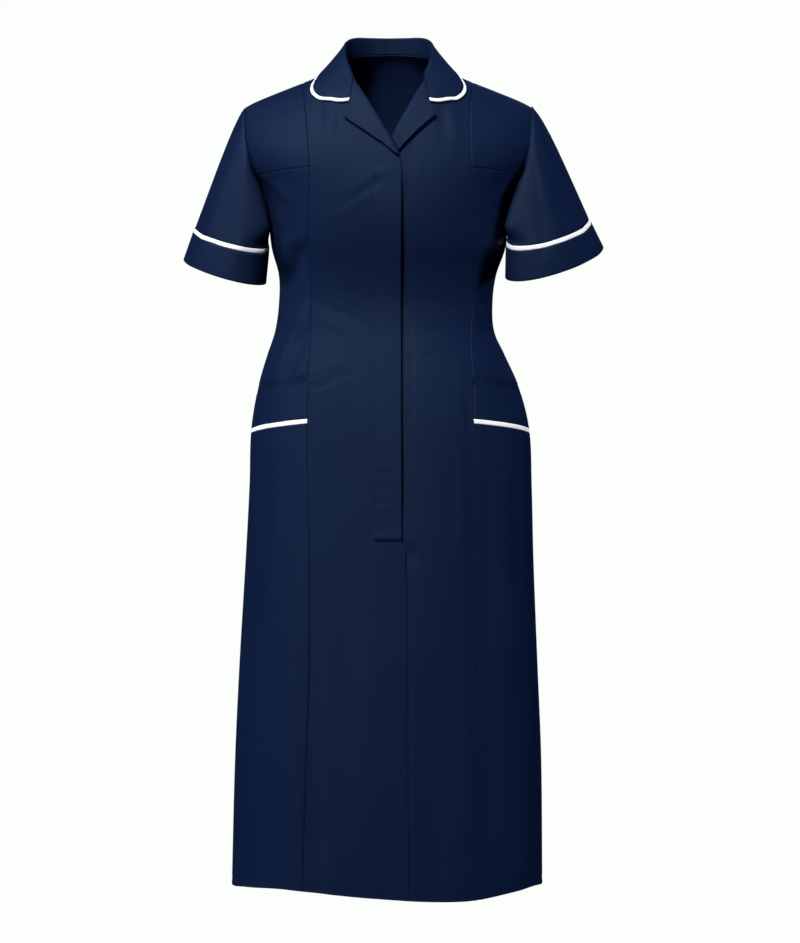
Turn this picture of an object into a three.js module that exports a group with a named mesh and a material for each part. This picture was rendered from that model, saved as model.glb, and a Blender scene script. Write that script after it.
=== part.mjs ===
// A nurse's uniform dress as it is worn, hollow and filled out with no wearer.
// Millimetres, +Z up, front towards -Y, the wearer's right towards -X.
// The origin is the middle of the neck base, level with the tops of the shoulder seams.
import * as THREE from "three";

// Cloth
const WALL = 1.6; // cloth with its turnings, as one wall
const STRIP = 1.2; // a strip sewn on top of a panel
const SEAM = 0.3; // gap between two pieces at a seam
const LAYER = 2.7; // from the middle of one layer to the middle of the next
const ROUNDNESS = 2.2; // exponent of the rounded sections, 2 is an ellipse
const NAVY = 0x1a2440;
const WHITE = 0xeceef0;

// Levels
const HEM_Z = -1168;
const CHEST_Z = -200; // above it the body rounds over to the shoulders
const YOKE_Z = -157;
const UNDERARM_Z = -178;
const ARMHOLE_TOP_Z = -60;
const ARMHOLE_MID_Z = -118;
const ARMHOLE_ANGLE = 0.725; // share of a quarter turn from the middle to the armhole
const SIDE_TURN = 0.9985; // the front stops just short of the side seam
const SIDE_GAP = 0.0015; // and the back starts just behind it
const NECK_HALF_WIDTH = 62;
const NECK_BACK = 54; // from the shoulder seam back to the middle of the neck
const NECK_RISE = 25;
const NECK_ROUND = 0.3; // how quickly the back of the neck rises from the shoulders
const NECK_STEEPER = 0.3; // the back rounds over faster below the neck
const SHOULDER_Y = 4;
const BREAK_Z = -148; // the lapels roll out above it
const ROLL_SPACE = 1.4; // from a lapel's roll line back to the front's edge
const FLY_END_Z = -676;
const UNDERLAP_MARGIN = 6; // the underlap stays down this far past the lapped edge
const UNDERLAP_RAMP = 14; // then comes up over this width
const UNDERLAP_END = 30; // and comes up this far under the fly's end
const UNDERLAP_END_RAMP = 16;
const PLACKET_TOP_Z = -152;
const PLACKET_OUTER_X = -19.5;
const PLACKET_INSET = 0.2; // from the front's edge to the strip
const PLACKET_GAP = 0.6; // from the front's face to the strip
const POCKET_MOUTH_Z = -460;
const POCKET_PIPING_TOP_Z = -507;
const POCKET_PIPING_BOTTOM_Z = -513.3;
const POCKET_OVERLAP_Z = -485; // the side front ends here, behind the pocket band
const POCKET_RAMP_FROM = 16; // above the mouth, where the side front starts to go in
const POCKET_RAMP = 12;

// Body sections: level, half width, depth to the front, depth to the back, x of the middle
const HALF_WIDTH = 1;
const FRONT_DEPTH = 2;
const BACK_DEPTH = 3;
const MIDDLE_X = 4;
const SECTIONS = [
  [-1168, 221, 168, 170, -2],
  [-990, 218, 162, 166, -0.5],
  [-850, 212, 154, 160, 0],
  [-706, 205, 143, 154, 1.5],
  [-600, 201, 134, 149, 3],
  [-520, 198, 126, 142, 2.5],
  [-459, 185.5, 117, 130, 0],
  [-415, 169.5, 108, 117, -3.5],
  [-380, 156, 101, 106, -5.5],
  [-340, 152, 99, 99, -4],
  [-300, 154.5, 106, 100, -1.5],
  [-262, 166, 116, 104, 0],
  [-230, 170, 122, 108, 0],
  [-205, 174, 124, 111, 0],
  [-178, 184, 124, 113, 0],
  [-150, 204, 123, 114, 0],
  [-120, 217, 122, 114, 0],
  [-60, 222, 121, 114, 0],
  [60, 222, 121, 114, 0],
];

// How far the front of the hem rises: x, rise
const HEM_RISE = [
  [-221, 2],
  [-200, 8],
  [-150, 13],
  [-110, 12],
  [-33, 7],
  [68, 0],
  [125, 0],
  [180, 6],
  [205, 7],
  [221, 2],
];
const HEM_RISE_BACK = 2;
const HEM_RISE_FROM = -920;

// Shoulder line: distance from the middle, level
const SHOULDER = [
  [0, 8],
  [62, 0],
  [110, -21],
  [160, -40.5],
  [193, -54],
  [222, -70],
];

// How far each row of the cloth falls towards the side seam: level, fall
const FALLS = [
  [-1168, 0],
  [-900, 6],
  [-706, 10],
  [-507, 14],
  [-459, 11],
  [-340, 6],
  [-230, 3],
  [-178, 0],
  [-168, 2],
  [-157, 6],
];

// Front edges and princess seams: level, distance from the middle to the piece's own side
const LAP_EDGE = [
  [0, 62],
  [-12, 57],
  [-31.7, 49.7],
  [-146.6, -17],
  [-156, -18.4],
  [-300, -17.5],
  [-676, -18.5],
  [-690, -24.4],
  [-760, -27],
  [-1000, -28],
  [-1168, -28.5],
];
const UNDERLAP_EDGE = [
  [0, 62],
  [-12, 58],
  [-30.3, 53.6],
  [-120, 6.2],
  [-138, -3.4],
  [-160, -14],
  [-664, -14],
  [-684, 24.6],
  [-760, 27],
  [-1000, 28],
  [-1168, 28.5],
];
const PRINCESS_RIGHT = [
  [-24, 122],
  [-60, 118],
  [-88, 114.7],
  [-157, 110],
  [-260, 112.3],
  [-307, 107.6],
  [-351, 108],
  [-423, 110.6],
  [-452, 112],
  [-564, 111.8],
  [-702, 109],
  [-885, 109.3],
  [-1005, 113],
  [-1168, 117],
];
const PRINCESS_LEFT = [
  [-24, 119.5],
  [-88, 113.7],
  [-130, 114.5],
  [-158, 116],
  [-207, 121],
  [-260, 121],
  [-394, 114.4],
  [-461, 118.5],
  [-507, 118.8],
  [-530, 123],
  [-702, 123.4],
  [-946, 125.8],
  [-1168, 125.6],
];

// Largest folds: x and z of the top end, x and z of the bottom end, half width, height (valleys below 0)
const FOLD_PAST = 0.1; // a fold runs past both ends by this share of its length
const FOLD_FADE = 0.35; // and fades in over this share
const FOLD_SIDE_FADE = 0.125; // folds fade out over this turn towards the side seam
const FRONT_FOLDS = [
  [-104, -690, -95, -1190, 14, -3.5],
  [134, -530, 140, -1190, 18, -5],
  [-126, -720, -130, -1190, 14, 3],
  [-112, -341, -168, -462, 11, 4],
  [-114, -382, -148, -458, 10, -3],
  [-138, -249, -145, -298, 10, 3],
  [-116, -256, -140, -322, 11, -4],
  [123, -274, 122, -396, 12, 3],
  [142, -274, 134, -356, 12, -3],
  [-20, -800, -35, -1190, 26, 3],
  [60, -860, 66, -1190, 24, -3],
];
const BACK_FOLDS = [
  [-150, -560, -158, -1190, 18, -5],
  [-96, -640, -104, -1190, 20, 4],
  [10, -760, 4, -1190, 26, -4],
  [92, -600, 100, -1190, 20, 4],
  [148, -540, 158, -1190, 18, -5],
  [-60, -300, -100, -372, 14, 4],
  [62, -290, 104, -368, 14, 4],
];

// Collar stations from the front to the middle of the back: the roll's x, y, z, the neck seam's
// x, y, z, then the outer edge's side of the shoulder line (-1 front), x, and depth under that line
const COLLAR = [
  [50, -75, -30, 47, -71.5, -31.5, -1, 53, 66],
  [51, -73, -27, 48, -69.5, -29, -1, 67, 64.5],
  [52, -70.5, -23.5, 49, -67, -26, -1, 82, 56],
  [53.5, -67, -18.5, 50, -63.5, -21.5, -1, 96, 47],
  [55.5, -62, -12, 52, -58, -16, -1, 106, 33.5],
  [58, -54, -3.5, 54.5, -49, -9.5, -1, 108, 22],
  [60.5, -42, 7, 58, -36, -3.5, -1, 101, 9],
  [62.5, -24, 19, 60.5, -18, 0.5, -1, 93, 2],
  [62, -2, 31, 62.5, 3, 5, 1, 88, 1],
  [58, 20, 40.5, 58.5, 25, 15.5, 1, 81, 5],
  [47, 38, 46.5, 47, 41.5, 22.5, 1, 63, 14],
  [27, 51, 48.5, 27.5, 55, 26.5, 1, 35, 28],
  [0, 55.5, 48.7, 0, 60, 28, 1, 0, 34],
];
const COLLAR_STEPS = 26; // stations along each half
const COLLAR_FOLD = 9; // steps from the neck seam over the roll to the edge
const COLLAR_PIPING = 5;
const COLLAR_LIFT = 2.8; // height of the collar's edge over the cloth
const COLLAR_SKEW = 3; // the left end of the collar starts this much further out
const COLLAR_SKEW_SHARE = 0.3; // and comes back over this share of its half
const COLLAR_STAND = 0.55; // middle of the stand, as a share of the way from seam to roll
const COLLAR_OVER = 0.16; // share of the way from roll to edge where the collar has turned over
const COLLAR_OVER_RISE = 1.2;
const COLLAR_MIDDLE = 0.55; // share of the way where the fall is fullest
const COLLAR_MIDDLE_RISE = 2.5;
const COLLAR_FRONT_SHARE = 0.4; // the fall bows forward up to here, and back behind it
const COLLAR_BOW_FRONT = -1.5;
const COLLAR_BOW_BACK = 0.5;

// Lapels in the front view: the roll's x and z, then the outer edge's x and z
const LAPEL_RIGHT = [
  [46.4, -36, 50.6, -62],
  [34, -59, 57, -75.5],
  [18, -86.6, 61.1, -89.5],
  [3, -112.4, 30, -111],
  [-8, -131.4, 6.2, -127],
  [-14.6, -142.6, -9.5, -141],
];
const LAPEL_LEFT = [
  [48.8, -37, 53.2, -62.4],
  [40, -56, 60.5, -74.5],
  [27, -80.8, 65.1, -86.5],
  [17, -99.8, 41, -107.5],
  [9.4, -114.6, 17.5, -128.5],
];
// Across a lapel: millimetres from the roll line, share of the width, height over the cloth
const LAPEL_ACROSS = [
  [-2.6, 0, 1.6],
  [-3, 0, 3],
  [-1.6, 0, 4.5],
  [2.4, 0, 5],
  [1, 0.35, 4.4],
  [0, 0.7, 3.1],
  [0, 1, 2.4],
];
const LAPEL_STEPS = 4; // between two of its sections
const LAPEL_FULL = 16; // a narrower lapel has a narrower roll

// Sleeves: outer and inner corners of the piping ring and of the cuff's end, all x, y, z,
// then half the sleeve's depth, how far its front hangs under the middle, and its outward bulge
const SLEEVE_RIGHT = {
  side: -1,
  seam: [[276.5, 12, -229.5], [170.5, -22, -261]],
  end: [[292.5, 12, -275], [175.5, -22, -312.5]],
  depth: 62,
  dip: 15,
  bulge: 5,
};
const SLEEVE_LEFT = {
  side: 1,
  seam: [[287, 16, -216.5], [168, -34, -254]],
  end: [[307, 16, -257], [167, -34, -305]],
  depth: 62,
  dip: 22,
  bulge: 7,
};
const SLEEVE_ROUND = 30;
const SLEEVE_ROWS = 8;
const SLEEVE_START = 1.5; // from the armhole's edge to the sleeve
const SLEEVE_START_UNDER = 0.5; // and this much more under the arm
const SLEEVE_FREE_ABOVE = -150; // the sleeve hangs free of the body above this level
const SLEEVE_FREE_FALL = 40;
const SLEEVE_PRESS = 0.9; // how far its inner side is pressed to the body
const SLEEVE_CLEAR = 3.2; // from the body to the sleeve beside it
const SLEEVE_SOFT = 3; // how softly the sleeve turns aside there
const CUFF_PIPING = 6;
const CUFF_LIFT = 1.1; // the turned cuff stands out this much

// Rows of the cloth from the hem to the yoke seam
const ROWS = [
  -1168, -1095, -1020, -945, -870, -790, -706, -690, -676, -630, -575, -535, -513.3, -507,
  -485, -460, -430, -400, -370, -338, -308, -280, -254, -228, -203, -178, -172, -165, -157,
];
const TOP_ROWS = 8; // from the yoke seam to the shoulder line
const TOP_END = 0.9992; // the last row stops just short of the shoulder line
const YOKE_START = 0.004; // and the yokes start just above their seam
const ARMHOLE_TOP_GAP = 0.02;
const LEVEL_PASSES = 6; // a slanting row's levels settle in this many passes

// Value of a table's column at a place, on a smooth curve through its rows
function smoothAt(table, place, column = 1) {
  const rising = table[table.length - 1][0] > table[0][0];
  const rows = rising ? table : [...table].reverse();
  const last = rows.length - 1;
  if (place <= rows[0][0]) return rows[0][column];
  if (place >= rows[last][0]) return rows[last][column];
  let i = 0;
  while (place > rows[i + 1][0]) i += 1;
  const slope = (k) => {
    const a = rows[Math.max(0, k - 1)];
    const b = rows[Math.min(last, k + 1)];
    return (b[column] - a[column]) / (b[0] - a[0]);
  };
  const span = rows[i + 1][0] - rows[i][0];
  const t = (place - rows[i][0]) / span;
  const rise = t * t * (3 - 2 * t);
  const bend = span * (slope(i) * t * (1 - t) ** 2 - slope(i + 1) * t * t * (1 - t));
  return rows[i][column] * (1 - rise) + rows[i + 1][column] * rise + bend;
}

// The same on straight lines between the rows
function straightAt(table, place, column = 1) {
  const rows = table[table.length - 1][0] > table[0][0] ? table : [...table].reverse();
  const last = rows.length - 1;
  if (place <= rows[0][0]) return rows[0][column];
  if (place >= rows[last][0]) return rows[last][column];
  let i = 0;
  while (place > rows[i + 1][0]) i += 1;
  const t = (place - rows[i][0]) / (rows[i + 1][0] - rows[i][0]);
  return rows[i][column] * (1 - t) + rows[i + 1][column] * t;
}

function ease(value) {
  const t = Math.min(1, Math.max(0, value));
  return t * t * (3 - 2 * t);
}

// Top edge of the body at x: the shoulder line, and behind it the back of the neck
function topLine(x, front) {
  const out = Math.abs(x);
  const inNeck = Math.max(0, 1 - (out / NECK_HALF_WIDTH) ** 2);
  if (front || inNeck === 0) return { y: SHOULDER_Y, z: smoothAt(SHOULDER, out), neck: 0 };
  const y = SHOULDER_Y + NECK_BACK * Math.sqrt(inNeck);
  return { y, z: NECK_RISE * inNeck ** NECK_ROUND, neck: inNeck };
}

// Folds add a soft ridge or valley along a slanting line
function foldHeight(folds, x, z) {
  let height = 0;
  for (const [x0, z0, x1, z1, halfWidth, lift] of folds) {
    const t = (z0 - z) / (z0 - z1);
    if (t < -FOLD_PAST || t > 1 + FOLD_PAST) continue;
    const across = (x - (x0 + (x1 - x0) * t)) / halfWidth;
    const along = ease((t + FOLD_PAST) / FOLD_FADE) * ease((1 + FOLD_PAST - t) / FOLD_FADE);
    height += lift * Math.exp(-across * across) * along;
  }
  return height;
}

// Point of the plain body. The turn is 0 at the front, 1 at the wearer's left side seam, 2 at the back.
function bodyPoint(turn, z) {
  const angle = (turn * Math.PI) / 2;
  const across = Math.sin(angle);
  const along = Math.cos(angle);
  const power = 2 / ROUNDNESS;
  const out = smoothAt(SECTIONS, z, HALF_WIDTH) * Math.sign(across) * Math.abs(across) ** power;
  const x = out + smoothAt(SECTIONS, z, MIDDLE_X);
  const front = along >= 0;
  const reach = smoothAt(SECTIONS, z, front ? FRONT_DEPTH : BACK_DEPTH) * Math.abs(along) ** power;
  if (z <= CHEST_Z) return new THREE.Vector3(x, front ? -reach : reach, z);
  const top = topLine(x, front);
  const height = Math.min(1, (z - CHEST_Z) / (top.z - CHEST_Z));
  const fall = (1 - height ** ROUNDNESS) ** (1 / ROUNDNESS + NECK_STEEPER * top.neck);
  const y = front ? top.y - (reach + top.y) * fall : top.y + (reach - top.y) * fall;
  return new THREE.Vector3(x, y, z);
}

// Turn of the point at x on the front, or on the back
function turnAt(x, z, front = true) {
  const out = x - smoothAt(SECTIONS, z, MIDDLE_X);
  const share = Math.min(1, Math.abs(out) / smoothAt(SECTIONS, z, HALF_WIDTH));
  const turn = (Math.asin(share ** (ROUNDNESS / 2)) * 2) / Math.PI;
  return (out < 0 ? -1 : 1) * (front ? turn : 2 - turn);
}

// Outward normal of the plain body
function bodyNormal(turn, z) {
  const stepTurn = 0.004;
  const stepZ = 0.6;
  const around = bodyPoint(turn + stepTurn, z).sub(bodyPoint(turn - stepTurn, z));
  const up = bodyPoint(turn, z + stepZ).sub(bodyPoint(turn, z - stepZ));
  return around.cross(up).normalize();
}

// Point of the cloth with its folds, moved out by a lift
function clothPoint(turn, z, lift = 0) {
  const point = bodyPoint(turn, z);
  const front = Math.abs(turn) <= 1;
  const fade = ease(Math.abs((Math.abs(turn) % 2) - 1) / FOLD_SIDE_FADE);
  const fold = foldHeight(front ? FRONT_FOLDS : BACK_FOLDS, point.x, z) * fade;
  return point.addScaledVector(bodyNormal(turn, z), fold + lift);
}

// Level of row g, from 0 at the yoke seam to 1 at the shoulder line, over the point x
function topLevel(g, x, front, fall) {
  const top = topLine(x, front).z;
  const power = 2 / ROUNDNESS;
  const start = Math.asin(((YOKE_Z - CHEST_Z) / (top - CHEST_Z)) ** (1 / power));
  const angle = start + g * (Math.PI / 2 - start);
  return CHEST_Z + Math.sin(angle) ** power * (top - CHEST_Z) - fall * (1 - g) ** 2;
}

// The hem isn't level: its rise fades out up the skirt
function hemRise(x, z, front) {
  const rise = front ? smoothAt(HEM_RISE, x) : HEM_RISE_BACK;
  return rise * ease((HEM_RISE_FROM - z) / (HEM_RISE_FROM - HEM_Z));
}

// Turn of the armhole's edge at a level
function armholeTurn(z) {
  if (z >= ARMHOLE_MID_Z) return ARMHOLE_ANGLE;
  const down = Math.min(1, (z - ARMHOLE_MID_Z) / (UNDERARM_Z - ARMHOLE_MID_Z));
  return 1 - (1 - ARMHOLE_ANGLE) * Math.sqrt(1 - down * down);
}

// Rows between two levels, with a row at each of them
function rowsBetween(bottom, top) {
  const rows = ROWS.filter((z) => z > bottom + 1 && z < top - 1);
  return [bottom, ...rows, top];
}

// Rows over the yoke seam, as shares of the way up to the shoulder line
function topRows(first = 0) {
  const rows = [];
  for (let i = 0; i <= TOP_ROWS; i += 1) rows.push(first + (TOP_END - first) * (i / TOP_ROWS));
  return rows;
}

// Grid of cloth points of one panel. Its inner and outer edges are turns at a level.
function panelGrid(panel) {
  const grid = [];
  const addRow = (levelAt) => {
    const row = [];
    for (let j = 0; j <= panel.columns; j += 1) {
      const even = j / panel.columns;
      const share = panel.closer ? even * (1 - panel.closer * (1 - even)) : even;
      let z = levelAt(0, share);
      let turn = panel.inner(z) * (1 - share) + panel.outer(z) * share;
      for (let pass = 0; pass < LEVEL_PASSES; pass += 1) {
        turn = panel.inner(z) * (1 - share) + panel.outer(z) * share;
        z = levelAt(bodyPoint(turn, z).x, share);
      }
      row.push(clothPoint(turn, z, panel.lift ? panel.lift(bodyPoint(turn, z).x, z, share) : 0));
    }
    grid.push(row);
  };
  const slant = panel.slant ?? (() => 0);
  for (const z of panel.rows) {
    addRow((x, share) => z - smoothAt(FALLS, z) * slant(share) + hemRise(x, z, panel.front));
  }
  for (const g of panel.topRows ?? []) {
    const fall = smoothAt(FALLS, YOKE_Z);
    addRow((x, share) => topLevel(g, x, panel.front, fall * slant(share)));
  }
  return grid;
}

// Closed wall around a grid of middle points
function wallGeometry(grid, thickness, ring = false) {
  const rows = grid.length;
  const columns = grid[0].length;
  const at = (i, j) => grid[i][ring ? (j + columns) % columns : Math.min(columns - 1, Math.max(0, j))];
  const positions = [];
  for (const side of [0.5, -0.5]) {
    for (let i = 0; i < rows; i += 1) {
      for (let j = 0; j < columns; j += 1) {
        const across = at(i, j + 1).clone().sub(at(i, j - 1));
        const up = at(Math.min(rows - 1, i + 1), j).clone().sub(at(Math.max(0, i - 1), j));
        const normal = across.cross(up).normalize();
        positions.push(...grid[i][j].clone().addScaledVector(normal, side * thickness).toArray());
      }
    }
  }
  const faces = [];
  const quad = (a, b, c, d) => faces.push(a, b, c, a, c, d);
  const outer = (i, j) => i * columns + (j % columns);
  const inner = (i, j) => rows * columns + outer(i, j);
  const lastColumn = ring ? columns : columns - 1;
  for (let i = 0; i < rows - 1; i += 1) {
    for (let j = 0; j < lastColumn; j += 1) {
      quad(outer(i, j), outer(i, j + 1), outer(i + 1, j + 1), outer(i + 1, j));
      quad(inner(i, j), inner(i + 1, j), inner(i + 1, j + 1), inner(i, j + 1));
    }
    if (ring) continue;
    quad(outer(i, 0), outer(i + 1, 0), inner(i + 1, 0), inner(i, 0));
    const end = columns - 1;
    quad(outer(i + 1, end), outer(i, end), inner(i, end), inner(i + 1, end));
  }
  for (let j = 0; j < lastColumn; j += 1) {
    quad(outer(0, j + 1), outer(0, j), inner(0, j), inner(0, j + 1));
    quad(outer(rows - 1, j), outer(rows - 1, j + 1), inner(rows - 1, j + 1), inner(rows - 1, j));
  }
  return facingOut(positions, faces);
}

// Turns the faces round where the wall came out inside out
function facingOut(positions, faces) {
  let volume = 0;
  const corner = (k) => new THREE.Vector3().fromArray(positions, faces[k] * 3);
  for (let k = 0; k < faces.length; k += 3) {
    volume += corner(k).dot(corner(k + 1).cross(corner(k + 2)));
  }
  if (volume < 0) faces.reverse();
  const geometry = new THREE.BufferGeometry();
  geometry.setAttribute("position", new THREE.Float32BufferAttribute(positions, 3));
  geometry.setIndex(faces);
  return geometry;
}

function clothMaterial(white) {
  return new THREE.MeshStandardMaterial({
    color: white ? WHITE : NAVY,
    roughness: white ? 0.7 : 0.78,
    metalness: 0,
  });
}

const dress = new THREE.Group();

function addPiece(name, geometry, white = false) {
  const mesh = new THREE.Mesh(geometry, clothMaterial(white));
  mesh.name = name;
  dress.add(mesh);
}

// x of the lapped front's edge at a level
function lapEdgeX(z) {
  return -straightAt(LAP_EDGE, z);
}

// The underlap lies one layer in, behind the lapped front
function underlapLift(x, z) {
  const covered = 1 - ease((x - lapEdgeX(z) - UNDERLAP_MARGIN) / UNDERLAP_RAMP);
  const aboveEnd = ease((z - (FLY_END_Z - UNDERLAP_END)) / UNDERLAP_END_RAMP);
  return -LAYER * covered * aboveEnd;
}

// The side front passes behind the pocket band
function pocketLift(x, z, share) {
  const mouth = POCKET_MOUTH_Z - smoothAt(FALLS, POCKET_MOUTH_Z) * share;
  return -LAYER * ease((mouth + POCKET_RAMP_FROM - z) / POCKET_RAMP);
}

function princessTurn(side, z, gap) {
  const seam = side < 0 ? PRINCESS_RIGHT : PRINCESS_LEFT;
  return turnAt(side * (smoothAt(seam, z) + gap), z);
}

// The fronts stop short of the lapels' rolls, and meet at the seam under the fly
function edgeGap(z) {
  return z > BREAK_Z ? ROLL_SPACE : SEAM / 2;
}

function addFrontCentres() {
  const rows = rowsBetween(HEM_Z, YOKE_Z);
  addPiece("front_centre_right", wallGeometry(panelGrid({
    front: true,
    columns: 6,
    rows,
    topRows: topRows().slice(1),
    inner: (z) => turnAt(lapEdgeX(z) - edgeGap(z), z),
    outer: (z) => princessTurn(-1, z, -SEAM / 2),
  }), WALL));
  addPiece("front_centre_left", wallGeometry(panelGrid({
    front: true,
    columns: 7,
    rows,
    topRows: topRows().slice(1),
    inner: (z) => turnAt(straightAt(UNDERLAP_EDGE, z) + edgeGap(z), z),
    outer: (z) => princessTurn(1, z, -SEAM / 2),
    closer: 0.5,
    lift: underlapLift,
  }), WALL));
}

// The fly strip lies on the lapped front
function addPlacket() {
  addPiece("front_placket", wallGeometry(panelGrid({
    front: true,
    columns: 2,
    rows: rowsBetween(FLY_END_Z, PLACKET_TOP_Z),
    inner: (z) => turnAt(lapEdgeX(z) - PLACKET_INSET, z),
    outer: (z) => turnAt(PLACKET_OUTER_X, z),
    lift: () => (WALL + STRIP) / 2 + PLACKET_GAP,
  }), STRIP));
}

// The panels between a princess seam and the side seam or armhole, from the shoulder to the hem
function addSideFront(side, name) {
  const inner = (z) => princessTurn(side, z, SEAM / 2);
  const outer = (z) => side * (z > UNDERARM_Z ? armholeTurn(z) : 1) * SIDE_TURN;
  const slant = (share) => share;
  const addPanel = (piece, rows, more = {}, white = false) => {
    const panel = { front: true, columns: 6, rows, inner, outer, slant, ...more };
    addPiece(`${piece}_${name}`, wallGeometry(panelGrid(panel), WALL), white);
  };
  addPanel("front_yoke", [], { topRows: topRows(YOKE_START) });
  addPanel("side_front", rowsBetween(POCKET_OVERLAP_Z, YOKE_Z - SEAM), { lift: pocketLift });
  addPanel("pocket_band", rowsBetween(POCKET_PIPING_TOP_Z + SEAM, POCKET_MOUTH_Z));
  addPanel("pocket_piping", [POCKET_PIPING_BOTTOM_Z, POCKET_PIPING_TOP_Z], {}, true);
  addPanel("skirt_side", rowsBetween(HEM_Z, POCKET_PIPING_BOTTOM_Z - SEAM));
}

function addBack() {
  const edge = (z) => (z > UNDERARM_Z ? 2 - armholeTurn(z) : 1);
  addPiece("back", wallGeometry(panelGrid({
    front: false,
    columns: 18,
    rows: rowsBetween(HEM_Z, YOKE_Z),
    topRows: topRows().slice(1),
    inner: (z) => edge(z) + SIDE_GAP,
    outer: (z) => 4 - edge(z) - SIDE_GAP,
    slant: () => 1,
  }), WALL));
}

// Outer edge of the collar at one station, lying over the cloth
function collarEdge(front, x, under) {
  const level = topLine(x, front < 0).z - under;
  const turn = turnAt(x, level, front < 0);
  return bodyPoint(turn, level).addScaledVector(bodyNormal(turn, level), COLLAR_LIFT);
}

// Curves of the roll, the neck seam and the outer edge along half of the collar
function collarCurves() {
  const curve = (points) => new THREE.CatmullRomCurve3(points, false, "centripetal");
  return {
    roll: curve(COLLAR.map(([x, y, z]) => new THREE.Vector3(x, y, z))),
    seam: curve(COLLAR.map((row) => new THREE.Vector3(...row.slice(3, 6)))),
    edge: curve(COLLAR.map((row) => collarEdge(row[6], row[7], row[8]))),
  };
}

// One section of the collar, from the neck seam over the roll to the outer edge
function collarSection(curves, share) {
  const seam = curves.seam.getPoint(share);
  const roll = curves.roll.getPoint(share);
  const edge = curves.edge.getPoint(share);
  const out = edge.clone().sub(roll);
  const over = roll.clone().addScaledVector(out, COLLAR_OVER);
  over.z += COLLAR_OVER_RISE;
  const middle = roll.clone().addScaledVector(out, COLLAR_MIDDLE);
  middle.y += share < COLLAR_FRONT_SHARE ? COLLAR_BOW_FRONT : COLLAR_BOW_BACK;
  middle.z += COLLAR_MIDDLE_RISE;
  const line = [seam, seam.clone().lerp(roll, COLLAR_STAND), roll, over, middle, edge];
  return new THREE.CatmullRomCurve3(line, false, "centripetal");
}

// Grid of the collar between two distances from its outer edge
function collarGrid(fromEdge, toEdge, steps) {
  const curves = collarCurves();
  const grid = [];
  for (let i = -COLLAR_STEPS; i <= COLLAR_STEPS; i += 1) {
    const share = 1 - Math.abs(i) / COLLAR_STEPS;
    const section = collarSection(curves, share);
    const length = section.getLength();
    const from = fromEdge === null ? 0 : 1 - fromEdge / length;
    const to = 1 - toEdge / length;
    const row = [];
    for (let k = 0; k <= steps; k += 1) {
      const point = section.getPointAt(from + (to - from) * (k / steps));
      const skew = COLLAR_SKEW * ease(1 - share / COLLAR_SKEW_SHARE);
      row.push(i < 0 ? point.setX(-point.x) : point.setX(point.x + skew));
    }
    grid.push(row);
  }
  return grid;
}

function addCollar() {
  addPiece("collar", wallGeometry(collarGrid(null, COLLAR_PIPING + SEAM, COLLAR_FOLD), WALL));
  addPiece("collar_piping", wallGeometry(collarGrid(COLLAR_PIPING, 0, 1), WALL), true);
}

function addLapel(name, side, sections) {
  const grid = [];
  const rows = (sections.length - 1) * LAPEL_STEPS;
  for (let i = 0; i <= rows; i += 1) {
    const place = i / LAPEL_STEPS;
    const k = Math.min(sections.length - 2, Math.floor(place));
    const row = sections[k].map((value, c) => value + (sections[k + 1][c] - value) * (place - k));
    const roll = new THREE.Vector2(row[0], row[1]);
    const out = new THREE.Vector2(row[2], row[3]).sub(roll);
    const width = out.length();
    const fit = Math.min(1, width / LAPEL_FULL);
    grid.push(LAPEL_ACROSS.map(([offset, share, height]) => {
      const spot = roll.clone().addScaledVector(out, share + (offset * fit) / width);
      const turn = turnAt(side * spot.x, spot.y);
      const lift = name === "left" ? underlapLift(side * spot.x, spot.y) : 0;
      return clothPoint(turn, spot.y, height + lift);
    }));
  }
  addPiece(`lapel_${name}`, wallGeometry(grid, WALL));
}

// Armhole from the shoulder down the front, under the arm and up the back, moved out to the sleeve
function armholePoint(share, side) {
  const front = share <= 0.5;
  const down = (1 - Math.cos((front ? share : 1 - share) * 2 * Math.PI)) / 2;
  const edgeX = bodyPoint(ARMHOLE_ANGLE, ARMHOLE_TOP_Z).x;
  const top = topLine(edgeX, front).z - ARMHOLE_TOP_GAP;
  const z = top + (UNDERARM_Z - top) * down;
  const turn = front ? armholeTurn(z) : 2 - armholeTurn(z);
  const point = bodyPoint(turn, z);
  const out = SLEEVE_START + SLEEVE_START_UNDER * down;
  return new THREE.Vector3(side * (point.x + out), point.y, point.z);
}

// Ring of an ellipse through an outer and an inner corner
function ringPoint(corners, sleeve, share) {
  const [outer, inner] = corners.map(([x, y, z]) => new THREE.Vector3(sleeve.side * x, y, z));
  const middle = outer.clone().add(inner).multiplyScalar(0.5);
  const half = outer.clone().sub(middle);
  const forward = new THREE.Vector3(0, -sleeve.depth, -sleeve.dip);
  const angle = share * 2 * Math.PI;
  return middle.addScaledVector(half, Math.cos(angle)).addScaledVector(forward, Math.sin(angle));
}

// Keeps a point of the sleeve just outside the body
function besideBody(point, side, press) {
  const depth = smoothAt(SECTIONS, point.z, point.y < 0 ? FRONT_DEPTH : BACK_DEPTH);
  const share = Math.min(1, Math.abs(point.y) / depth);
  const halfWidth = smoothAt(SECTIONS, point.z, HALF_WIDTH);
  const bodyX = halfWidth * (1 - share ** ROUNDNESS) ** (1 / ROUNDNESS);
  const free = SLEEVE_FREE_FALL * ease((point.z - SLEEVE_FREE_ABOVE) / 32);
  const least = bodyX + side * smoothAt(SECTIONS, point.z, MIDDLE_X) + SLEEVE_CLEAR - free;
  const out = point.x * side + (least + SLEEVE_SOFT - point.x * side) * press;
  const past = out - least - SLEEVE_SOFT;
  return point.setX(side * (past < 0 ? least + SLEEVE_SOFT * Math.exp(past / SLEEVE_SOFT) : out));
}

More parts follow.
